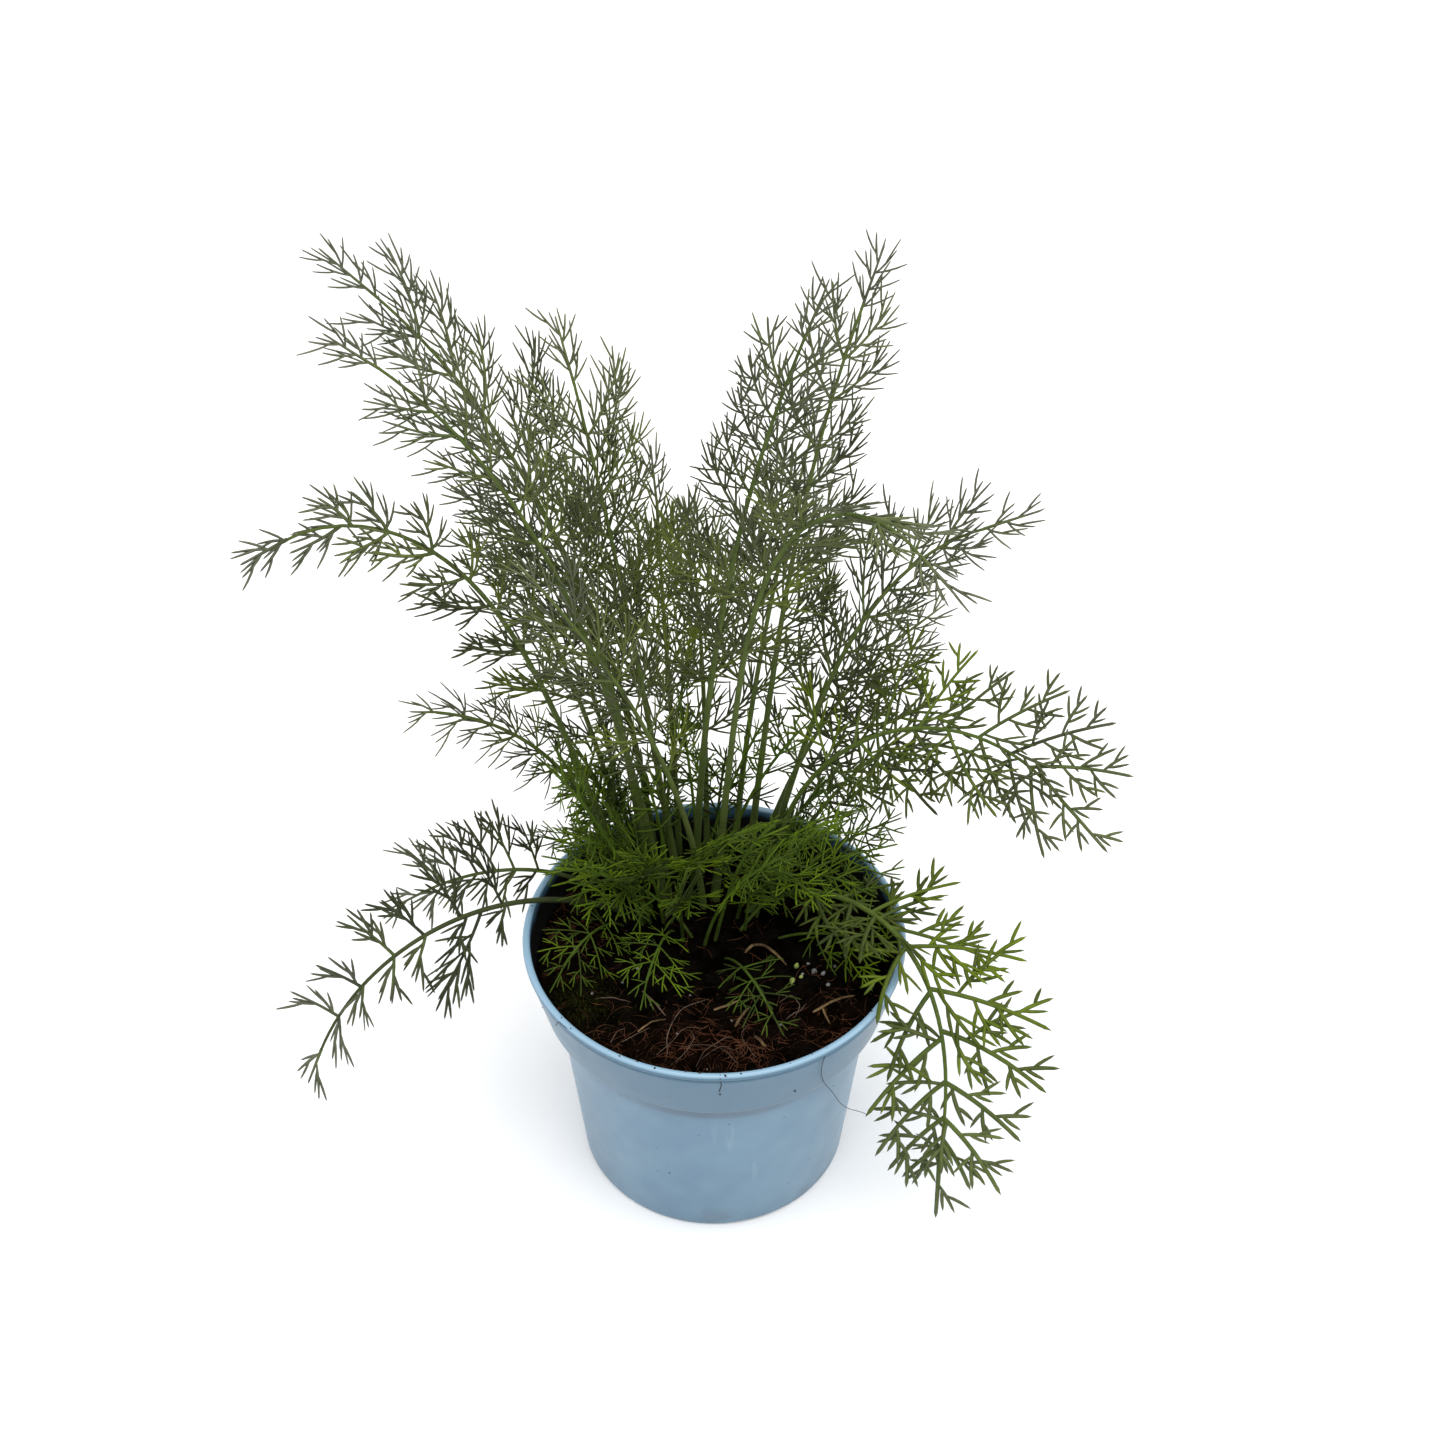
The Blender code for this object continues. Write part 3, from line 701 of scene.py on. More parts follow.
@dataclass(frozen=True)
class CompostFinish:
    """Damp, nearly black compost with browner, fibrous patches."""

    dark: Colour = (0.0011, 0.0008, 0.0005)
    grey: Colour = (0.0045, 0.0034, 0.0024)
    brown: Colour = (0.007, 0.0026, 0.0012)
    moss: Colour = (0.01, 0.009, 0.0008)

    def make(self) -> bpy.types.Material:
        """Build the material.

        Returns:
            the material
        """
        finish = Finish("compost")
        graph = finish.graph
        plain = finish.mottle(self.dark, self.grey, 150.0).outputs["Colour"]
        fibrous = finish.mottle(self.dark, self.brown, 260.0).outputs["Colour"]
        warm = graph.mix(finish.attribute("coir"), plain, fibrous)
        tufts = graph.ramp(graph.noise(900.0, 4), 0.4, 0.6)
        finish.colour(graph.mix(graph.times(finish.attribute("moss"), tufts), warm, self.moss))
        finish.roughness(graph.scaled(graph.noise(300.0, 3), 0.4, 0.6))
        finish.constant("Specular IOR Level", 0.0)
        finish.grain(1500.0, 0.8, 0.5 * MM)
        return finish.material


@dataclass(frozen=True)
class BitFinish:
    """Loose bits on the compost and the pot: fibre, grit, straw, husk, moss or root."""

    name: str
    first: Colour
    second: Colour
    roughness: float = 0.8
    specular: float = 0.1

    def make(self) -> bpy.types.Material:
        """Build the material.

        Returns:
            the material
        """
        finish = Finish(self.name)
        mottle = finish.mottle(self.first, self.second, 170.0)
        finish.colour(mottle.outputs["Colour"])
        finish.roughness(finish.graph.scaled(mottle.outputs["Mask"], 0.12, self.roughness))
        finish.constant("Specular IOR Level", self.specular)
        finish.grain(2600.0, 0.4, 0.1 * MM)
        return finish.material


@dataclass(frozen=True)
class LeafFinish:
    """Living leaf: stalk colour at the foot, leaflet colour, and a waxy bloom to the tip.

    The piece's own attributes say where each point lies: leaf_order is 0 on the stalk and
    1 on the finest shoots, leaf_run is 0 at the foot and 1 at the tip of the leaf, and
    leaf_chance differs from shoot to shoot.
    """

    name: str
    foot: Colour
    stalk: Colour
    leaflet: Colour
    dull: Colour
    fresh: Colour
    bloom: Colour
    bloom_share: float
    mottle: tuple[Colour, Colour] = ((0.72, 0.75, 0.7), (1.0, 1.0, 1.0))
    roughness: float = 0.55
    specular: float = 0.1

    def make(self) -> bpy.types.Material:
        """Build the material.

        Returns:
            the material
        """
        finish = Finish(self.name)
        graph = finish.graph
        order, run = finish.attribute("leaf_order"), finish.attribute("leaf_run")
        chance = finish.attribute("leaf_chance")
        stalk = graph.mix(graph.ramp(run, 0.02, 0.3), self.foot, self.stalk)
        stalk = graph.mix(graph.ramp(chance, 0.4, 0.0), stalk, self.dull)
        young = graph.mix(graph.ramp(chance, 0.5, 1.0), self.leaflet, self.fresh)
        shade = graph.mix(graph.ramp(chance, 0.5, 0.0), young, self.dull)
        waxy = graph.times(graph.ramp(run, 0.5, 1.0), self.bloom_share)
        shade = graph.mix(waxy, shade, self.bloom)
        green = graph.mix(graph.ramp(order, 0.1, 0.5), stalk, shade)
        mottle = finish.mottle(*self.mottle, 110.0)
        finish.colour(graph.mix(1.0, green, mottle.outputs["Colour"], "MULTIPLY"))
        finish.roughness(graph.scaled(mottle.outputs["Mask"], 0.15, self.roughness))
        finish.constant("Specular IOR Level", self.specular)
        ribs = graph.noise(1600.0, 2, stretch=(1, 1, 0.1))
        graph.feed(finish.shader.inputs["Normal"], graph.bump(ribs, 0.35, 0.2 * MM))
        return finish.material


def mesh_piece(
    name: str, points: np.ndarray, quads: np.ndarray, triples: np.ndarray,
    values: dict[str, np.ndarray],
) -> bpy.types.Object:
    """Make an object from arrays.

    Args:
        name: the piece's name
        points: places, one row each
        quads: faces of four corners, or an empty array
        triples: faces of three corners, or an empty array
        values: for each attribute, its value at each point

    Returns:
        the object, linked to the scene
    """
    mesh = bpy.data.meshes.new(name)
    mesh.vertices.add(len(points))
    mesh.vertices.foreach_set("co", points.astype(np.float32).ravel())
    corners = np.concatenate([quads.ravel(), triples.ravel()])
    mesh.loops.add(len(corners))
    mesh.loops.foreach_set("vertex_index", corners.astype(np.int32))
    sizes = np.concatenate([np.full(len(quads), 4), np.full(len(triples), 3)])
    mesh.polygons.add(len(sizes))
    starts = np.concatenate([[0], np.cumsum(sizes)[:-1]])
    mesh.polygons.foreach_set("loop_start", starts.astype(np.int32))
    mesh.update(calc_edges=True)
    mesh.validate()
    for label, value in values.items():
        attribute = mesh.attributes.new(label, "FLOAT", "POINT")
        attribute.data.foreach_set("value", value.astype(np.float32))
    mesh.shade_smooth()
    return new_object(name, mesh)


@dataclass
class Tubes:
    """Batch of thin tubes with pointed tips, gathered into one mesh."""

    points: list[np.ndarray] = field(default_factory=list)
    quads: list[np.ndarray] = field(default_factory=list)
    triples: list[np.ndarray] = field(default_factory=list)
    values: dict[str, list[np.ndarray]] = field(default_factory=dict)
    count: int = 0

    def add(
        self, lines: np.ndarray, radii: np.ndarray, normals: np.ndarray, sides: int,
        flat: float = 1.0, point: float = 2.0, **values: np.ndarray,
    ) -> None:
        """Add tubes that all have the same number of rings.

        Args:
            lines: centre lines, tubes by rings by three
            radii: radius at each ring, tubes by rings
            normals: a direction across each tube, tubes by three
            sides: number of sides
            flat: thickness along the normal as a share of the width
            point: length of the pointed tip in radii of the last ring
            values: for each attribute, its value at each ring
        """
        tubes, rings = lines.shape[:2]
        tangents = unit(np.gradient(lines, axis=1))
        side = unit(np.cross(tangents, normals[:, None, :]))
        above = np.cross(side, tangents)
        turn = np.arange(sides) / sides * math.tau + math.pi / 2
        around = np.cos(turn)[None, None, :, None] * side[:, :, None, :]
        around = around + flat * np.sin(turn)[None, None, :, None] * above[:, :, None, :]
        rim = lines[:, :, None, :] + radii[:, :, None, None] * around
        tips = lines[:, -1] + tangents[:, -1] * radii[:, -1:] * point
        block = np.concatenate([rim.reshape(tubes, -1, 3), tips[:, None]], axis=1)
        start = self.count + np.arange(tubes)[:, None, None] * (rings * sides + 1)
        low = np.arange(sides)
        beside = (low + 1) % sides
        ring = np.arange(rings - 1)[:, None] * sides
        quad = np.stack([ring + low, ring + beside, ring + beside + sides, ring + low + sides], -1)
        last = (rings - 1) * sides
        tip = np.stack([last + low, last + beside, np.full(sides, rings * sides)], -1)
        self.points.append(block.reshape(-1, 3))
        self.quads.append((start + quad.reshape(1, -1, 4)).reshape(-1, 4))
        self.triples.append((start + tip[None]).reshape(-1, 3))
        for name, value in values.items():
            spread = np.concatenate([np.repeat(value, sides, axis=1), value[:, -1:]], axis=1)
            self.values.setdefault(name, []).append(spread.reshape(-1))
        self.count += tubes * (rings * sides + 1)

    def to_object(self, name: str) -> bpy.types.Object:
        """Make the object that holds every tube.

        Args:
            name: the piece's name

        Returns:
            the object
        """
        values = {label: np.concatenate(parts) for label, parts in self.values.items()}
        gathered = [np.concatenate(parts) for parts in (self.points, self.quads, self.triples)]
        return mesh_piece(name, *gathered, values)


@dataclass
class Shoots:
    """Shoots of one order, as curved centre lines that all have the same rings."""

    lines: np.ndarray
    normals: np.ndarray
    ahead: np.ndarray
    lengths: np.ndarray
    chance: np.ndarray
    run: np.ndarray

    def at(self, index: np.ndarray, share: np.ndarray) -> tuple[np.ndarray, np.ndarray]:
        """Places and directions along shoots.

        Args:
            index: which shoot, one for each place
            share: share of that shoot's length

        Returns:
            points and unit directions
        """
        steps = self.lines.shape[1] - 1
        place = np.clip(share, 0, NEARLY_ONE) * steps
        low = place.astype(int)
        start = self.lines[index, low]
        end = self.lines[index, low + 1]
        return start + (end - start) * (place - low)[:, None], unit(end - start)

    def kept(self, keep: np.ndarray) -> Shoots:
        """Only the shoots that a mask keeps."""
        return Shoots(*(getattr(self, part.name)[keep] for part in fields(self)))


@dataclass(frozen=True)
class Order:
    """How one order of shoots stands on the order before it.

    angle: degrees from the parent's direction, at the lowest and the highest
    gap: distance between pairs
    share: longest shoot as a share of its parent
    shortest: shortest shoot
    first: share of the parent below the first pair
    fall: how quickly shoots shorten towards the parent's tip
    spread: degrees out of the parent's plane, up or down
    curl: how far a shoot bends forward along its length
    sweep: how much of that bend follows the whole leaf's direction, not the parent's
    radius: at the foot, in the middle and at the tip
    flat: thickness as a share of the width
    rings: cross sections along a shoot
    """

    angle: tuple[float, float]
    gap: float
    share: float
    shortest: float
    first: float
    fall: float
    spread: float
    curl: float
    sweep: float
    radius: Triple
    flat: float
    rings: int


@dataclass(frozen=True)
class Habit:
    """How a leaf is cut: its side branches, and the finer orders that they carry.

    angle: degrees of the side branches from the stalk, at the lowest and the highest
    spread: degrees out of the leaf's plane, up or down
    curl: how far a side branch bends forward along its length
    last: length of the highest side branch as a share of the longest
    radius: of a side branch, at the foot, in the middle and at the tip
    orders: the two finer orders
    sides: number of sides of the finer shoots
    """

    angle: tuple[float, float]
    spread: float
    curl: float
    last: float
    radius: Triple
    orders: tuple[Order, Order]
    sides: int


FINE_HABIT = Habit(
    angle=(64, 40), spread=24, curl=1.0, last=0.66, radius=(0.5 * MM, 0.42 * MM, 0.3 * MM),
    orders=(
        Order(
            angle=(42, 28), gap=6.8 * MM, share=0.46, shortest=9 * MM, first=0.1, fall=0.5,
            spread=18, curl=1.0, sweep=0.5, radius=(0.35 * MM, 0.45 * MM, 0.28 * MM), flat=0.8,
            rings=5,
        ),
        Order(
            angle=(25, 18), gap=6.8 * MM, share=0.6, shortest=8 * MM, first=0.22, fall=0.4,
            spread=18, curl=0.7, sweep=0.5, radius=(0.3 * MM, 0.43 * MM, 0.24 * MM), flat=0.8,
            rings=4,
        ),
    ),
    sides=3,
)
FOLDED_HABIT = Habit(
    angle=(60, 40), spread=16, curl=0.4, last=0.65, radius=(0.6 * MM, 0.5 * MM, 0.4 * MM),
    orders=(
        Order(
            angle=(28, 20), gap=8 * MM, share=0.6, shortest=10 * MM, first=0.3, fall=0.35,
            spread=24, curl=0.3, sweep=0.0, radius=(0.36 * MM, 0.58 * MM, 0.36 * MM),
            flat=0.45, rings=5,
        ),
        Order(
            angle=(22, 16), gap=8.5 * MM, share=0.65, shortest=7.5 * MM, first=0.3, fall=0.3,
            spread=24, curl=0.3, sweep=0.0, radius=(0.34 * MM, 0.54 * MM, 0.3 * MM), flat=0.45,
            rings=4,
        ),
    ),
    sides=4,
)
COARSE_HABIT = Habit(
    angle=(74, 46), spread=12, curl=0.5, last=0.8, radius=(0.85 * MM, 0.78 * MM, 0.7 * MM),
    orders=(
        Order(
            angle=(58, 44), gap=13 * MM, share=0.5, shortest=10 * MM, first=0.14, fall=0.4,
            spread=15, curl=0.5, sweep=0.0, radius=(0.56 * MM, 0.78 * MM, 0.6 * MM), flat=0.5,
            rings=6,
        ),
        Order(
            angle=(42, 34), gap=7 * MM, share=0.55, shortest=6.5 * MM, first=0.34, fall=0.25,
            spread=18, curl=0.5, sweep=0.0, radius=(0.5 * MM, 0.74 * MM, 0.46 * MM), flat=0.5,
            rings=4,
        ),
    ),
    sides=4,
)


class Cut(Enum):
    """The ways in which this plant's leaves are cut."""

    FINE = FINE_HABIT
    FOLDED = FOLDED_HABIT
    COARSE = COARSE_HABIT


Extra = tuple[float, int, float, float]


@dataclass(frozen=True)
class LeafShape:
    """One leaf, from its foot in the compost to its tip.

    name: what its solid and its piece are called after frond_ and leaf_
    foot: where it leaves the compost, x and y in millimetres
    heading: the way it leans, in degrees from +X towards +Y
    swing: how far the heading has turned at the tip, in degrees
    lean: degrees from upright, at the foot and at the tip
    arch: 1 bends evenly, more keeps the bend for the tip
    length: along the stalk, in millimetres
    bare: share of the stalk below the first side branch
    reach: longest side branch to the left and to the right, in millimetres
    pairs: number of pairs of side branches in the solids
    roll: turn of the leaf's flat side about its stalk, in degrees
    cut: how finely it is cut
    fill: pairs of side branches here for each pair in the solids
    grain: spacing and length of the leaf's finest parts
    width: width of its shoots
    rise: how far its right-hand side branches turn upwards
    whirl: turn of its side branches about the stalk that builds up to the tip, in degrees
    fresh: 0 for a dull, dark leaf and 1 for a bright, young one
    extra: single side branches, each its share, its hand, its angle and its length
    """

    name: str
    foot: tuple[float, float]
    heading: float
    swing: float
    lean: tuple[float, float]
    arch: float
    length: float
    bare: float
    reach: tuple[float, float]
    pairs: int
    roll: float
    cut: Cut
    fill: float = 1.4
    grain: float = 1.0
    width: float = 1.0
    rise: float = 0.0
    whirl: float = 0.0
    fresh: float = 0.5
    extra: tuple[Extra, ...] = ()

    @property
    def slot(self) -> str:
        """Material slot of the solid that this leaf stands for."""
        coarse = self.cut is Cut.COARSE or self.name == "drooping_left"
        return "coarse_leaf" if coarse else "fine_leaf"


FINE, FOLDED, COARSE = Cut.FINE, Cut.FOLDED, Cut.COARSE
LEAVES = (
    # The left of the tuft
    LeafShape(
        "tall_left", (-24, 36), 140, 15, (7, 58), 1.8, 236, 0.42, (29, 40), 6, -40, FINE,
        fresh=0.4,
    ),
    LeafShape(
        "tall_left_front", (-17, 24), 155, 40, (11, 45), 2.4, 236, 0.42, (27, 34), 6, -60, FINE,
    ),
    LeafShape(
        "tall_centre_left", (-14, 42), 150, -20, (9, 20), 2.0, 190, 0.42, (32, 38), 6, -35, FINE,
        fresh=0.9,
    ),
    LeafShape(
        "arching_left", (-30, 30), 165, 40, (16, 110), 4.4, 212, 0.45, (26, 19), 6, -55, FINE,
        fill=1.2, grain=0.95, width=1.25, fresh=0.6,
    ),
    LeafShape(
        "low_left", (-36, 38), 186, 12, (9, 72), 1.55, 111, 0.4, (14, 14), 5, -45, FINE,
        fill=1.1, width=0.9, fresh=0.6,
    ),
    LeafShape(
        "drooping_left", (-34, 22), 203, 15, (53, 152), 1.3, 130, 0.35, (15, 23), 5, -25, FOLDED,
        fill=1.3, rise=1.5, fresh=0.15, extra=((0.42, 1, 52, 34),),
    ),
    LeafShape(
        "drooping_left_back", (-40, 29), 190, 5, (34, 112), 0.8, 68, 0.4, (14, 24), 4, -35, FOLDED,
        grain=0.9, width=0.85, rise=1.5, fresh=0.3,
    ),
    # The right of the tuft
    LeafShape(
        "tall_right", (-7, 34), 20, -50, (2, 19), 1.6, 230, 0.42, (30, 34), 6, -70, FINE,
        fill=1.55,
    ),
    LeafShape(
        "tall_right_back", (12, 46), 36, 10, (6, 28), 2.6, 214, 0.4, (35, 28), 6, 40, FINE,
        fresh=0.55,
    ),
    LeafShape(
        "leaning_right", (17, 38), 30, -37, (14, 69), 3.6, 168, 0.42, (32, 22), 5, 45, FINE,
        width=1.1, fresh=0.35,
    ),
    LeafShape(
        "arching_right", (0, 26), -35, -15, (5, 118), 4.5, 236, 0.5, (28, 28), 5, -60, FINE,
        width=1.15, whirl=80, fresh=0.65,
    ),
    LeafShape(
        "spreading_right", (20, 32), 22, -70, (0, 121), 1.25, 157, 0.4, (36, 35), 6, 40, COARSE,
        fill=1.35, grain=0.78, width=0.74, fresh=0.5,
    ),
    LeafShape(
        "low_right", (24, 40), 30, 0, (22, 85), 1.0, 82, 0.4, (24, 16), 4, 35, COARSE,
        grain=0.75, width=0.68, fresh=0.35,
    ),
    LeafShape(
        "drooping_right", (12, 20), -8, -100, (36, 170), 0.85, 148, 0.36, (39, 35), 6, 0, COARSE,
        fill=1.0, fresh=0.6,
        extra=(
            (0.38, 1, 85, 24), (0.41, 1, 42, 36), (0.2, -1, 60, 24), (0.27, 1, 60, 20),
            (0.3, -1, 70, 24), (0.93, 1, 40, 20), (0.95, -1, 44, 18),
        ),
    ),
    # Inside and behind the tuft
    LeafShape(
        "centre_back", (-13, 50), 105, -10, (5, 40), 1.0, 130, 0.35, (36, 36), 5, 0, FINE,
        fill=1.0, fresh=0.75,
    ),
    LeafShape(
        "centre_front", (-4, 22), 200, -20, (4, 34), 1.0, 150, 0.45, (30, 30), 5, -60, FINE,
        fill=1.2, fresh=0.6,
    ),
    LeafShape(
        "inner_left", (-30, 46), 165, -20, (12, 40), 2.0, 140, 0.4, (30, 30), 5, -40, FINE,
        fill=1.2,
    ),
    LeafShape(
        "inner_right", (16, 48), 30, 10, (18, 80), 1.6, 104, 0.38, (28, 28), 5, 30, FINE,
        fill=1.0,
    ),
    LeafShape(
        "back_left", (-22, 50), 125, 10, (10, 66), 1.5, 160, 0.4, (32, 32), 5, -20, FINE,
        fill=1.0,
    ),
    LeafShape(
        "back", (-3, 48), 92, 5, (10, 84), 1.3, 128, 0.38, (32, 32), 5, 0, FINE,
        fill=1.0, fresh=0.75,
    ),
    LeafShape(
        "back_right", (7, 52), 65, 10, (9, 68), 1.5, 156, 0.4, (32, 32), 5, 10, FINE,
        fill=1.0,
    ),
    # Young leaves near the compost
    LeafShape(
        "young_left", (-32, 14), 235, 0, (35, 118), 1.0, 36, 0.35, (18, 18), 3, -25, COARSE,
        fill=1.0, grain=0.6, width=0.38, fresh=0.55,
    ),
    LeafShape(
        "young_front_left", (-14, 10), 255, 0, (38, 112), 1.0, 36, 0.35, (18, 18), 3, -10, COARSE,
        fill=1.0, grain=0.6, width=0.38, fresh=0.6,
    ),
    LeafShape(
        "young_front", (4, -2), 292, 0, (45, 98), 1.0, 44, 0.4, (16, 16), 3, 20, COARSE,
        fill=1.0, grain=0.66, width=0.38, fresh=0.25,
    ),
    LeafShape(
        "young_right", (22, 8), -22, 0, (50, 96), 1.0, 38, 0.4, (20, 20), 3, 40, COARSE,
        fill=1.0, grain=0.8, width=0.46, fresh=0.8,
    ),
    LeafShape(
        "young_centre", (9, 11), 22, 0, (32, 98), 1.0, 54, 0.4, (22, 22), 4, 35, COARSE,
        fill=1.0, grain=0.8, width=0.48, fresh=0.5,
    ),
    LeafShape(
        "young_inner", (-8, 8), 168, 0, (25, 86), 1.0, 50, 0.4, (22, 22), 4, -40, COARSE,
        fill=1.0, grain=0.75, width=0.48, fresh=0.75,
    ),
)


class Spine:
    """Centre line of a leaf's stalk, walked in short straight steps as in the solids.

    FOOT_RADIUS is that of the shortest and that of the longest stalk. FULL_LENGTH and
    SHEATH_HEIGHT are in millimetres, as the leaves' lengths are.
    """

    STEPS = 60
    FOOT_RADIUS = (0.8 * MM, 1.32 * MM)
    FULL_LENGTH = 260
    TIP_RADIUS = 0.45 * MM
    TAPER = 1.2
    SHEATH_WIDTH = 0.55
    SHEATH_HEIGHT = 15

    def __init__(self, shape: LeafShape) -> None:
        """Walk the line of one leaf.

        Args:
            shape: the leaf
        """
        self.shape = shape
        x, y = shape.foot[0] * MM, shape.foot[1] * MM
        self.points = [Vector((x, y, soil_height(x, y)))]
        step = shape.length * MM / self.STEPS
        for number in range(self.STEPS):
            tangent = self.tangent((number + 0.5) / self.STEPS)
            self.points.append(self.points[-1] + tangent * step)

    def heading(self, share: float) -> float:
        """Heading in radians at a share of the length."""
        return math.radians(self.shape.heading + self.shape.swing * share)

    def tangent(self, share: float) -> Vector:
        """Direction of growth at a share of the length.

        Args:
            share: share of the length

        Returns:
            a unit vector
        """
        lean = math.radians(blend(*self.shape.lean, share**self.shape.arch))
        heading = self.heading(share)
        level = math.sin(lean)
        return Vector((level * math.cos(heading), level * math.sin(heading), math.cos(lean)))

    def point(self, share: float) -> Vector:
        """Place at a share of the length.

        Args:
            share: share of the length

        Returns:
            the place
        """
        place = min(share, NEARLY_ONE) * self.STEPS
        number = int(place)
        return self.points[number].lerp(self.points[number + 1], place - number)

    def axes(self, share: float) -> tuple[Vector, Vector, Vector]:
        """Forward, sideways and upward directions of the leaf at a share of the length.

        Args:
            share: share of the length

        Returns:
            three unit vectors
        """
        tangent = self.tangent(share)
        heading = self.heading(share)
        side = Vector((-math.sin(heading), math.cos(heading), 0))
        side.rotate(Quaternion(tangent, math.radians(self.shape.roll)))
        return tangent, side, tangent.cross(side)

    def radius(self, share: float) -> float:
        """Stalk radius, thicker on a longer leaf and wide where it sheathes the tuft.

        Args:
            share: share of the length

        Returns:
            the radius
        """
        full = min(self.shape.length / self.FULL_LENGTH, 1)
        foot = blend(*self.FOOT_RADIUS, full) * blend(min(self.shape.width, 1), 1, full)
        fading = math.exp(-share * self.shape.length / self.SHEATH_HEIGHT)
        sheath = self.SHEATH_WIDTH * foot * full * fading
        return blend(foot, self.TIP_RADIUS, share**self.TAPER) + sheath


def clear_of_pot(lines: np.ndarray) -> np.ndarray:
    """Which shoots stay clear of the pot's wall, the compost and the ground.

    Args:
        lines: centre lines, shoots by rings by three

    Returns:
        one truth value for each shoot
    """
    distance = np.hypot(lines[..., 0], lines[..., 1])
    height = lines[..., 2]
    outside = wall_radii(height)
    over_rim = height > POT_HEIGHT + CLEARANCE
    past_wall = distance > outside + CLEARANCE
    in_mouth = distance < outside - WALL - LIP_RADIUS - CLEARANCE
    in_mouth &= height > SOIL_LEVEL + CLEARANCE
    return ((over_rim | past_wall | in_mouth) & (height > OFF_GROUND)).all(axis=1)


def bent(
    roots: np.ndarray, directions: np.ndarray, towards: np.ndarray, lengths: np.ndarray,
    curl: np.ndarray, rings: int,
) -> np.ndarray:
    """Centre lines that start in one direction and bend towards another.

    Args:
        roots: starting points
        directions: starting directions
        towards: directions that the shoots bend towards
        lengths: lengths along the shoots
        curl: how far each bends, 0 for straight
        rings: points on each line

    Returns:
        lines, shoots by rings by three
    """
    steps = rings - 1
    lines = np.empty((len(roots), rings, 3))
    lines[:, 0] = roots
    for step in range(steps):
        share = (step + 0.5) / steps
        heading = unit(directions + towards * (curl * share)[:, None])
        lines[:, step + 1] = lines[:, step] + heading * (lengths / steps)[:, None]
    return lines


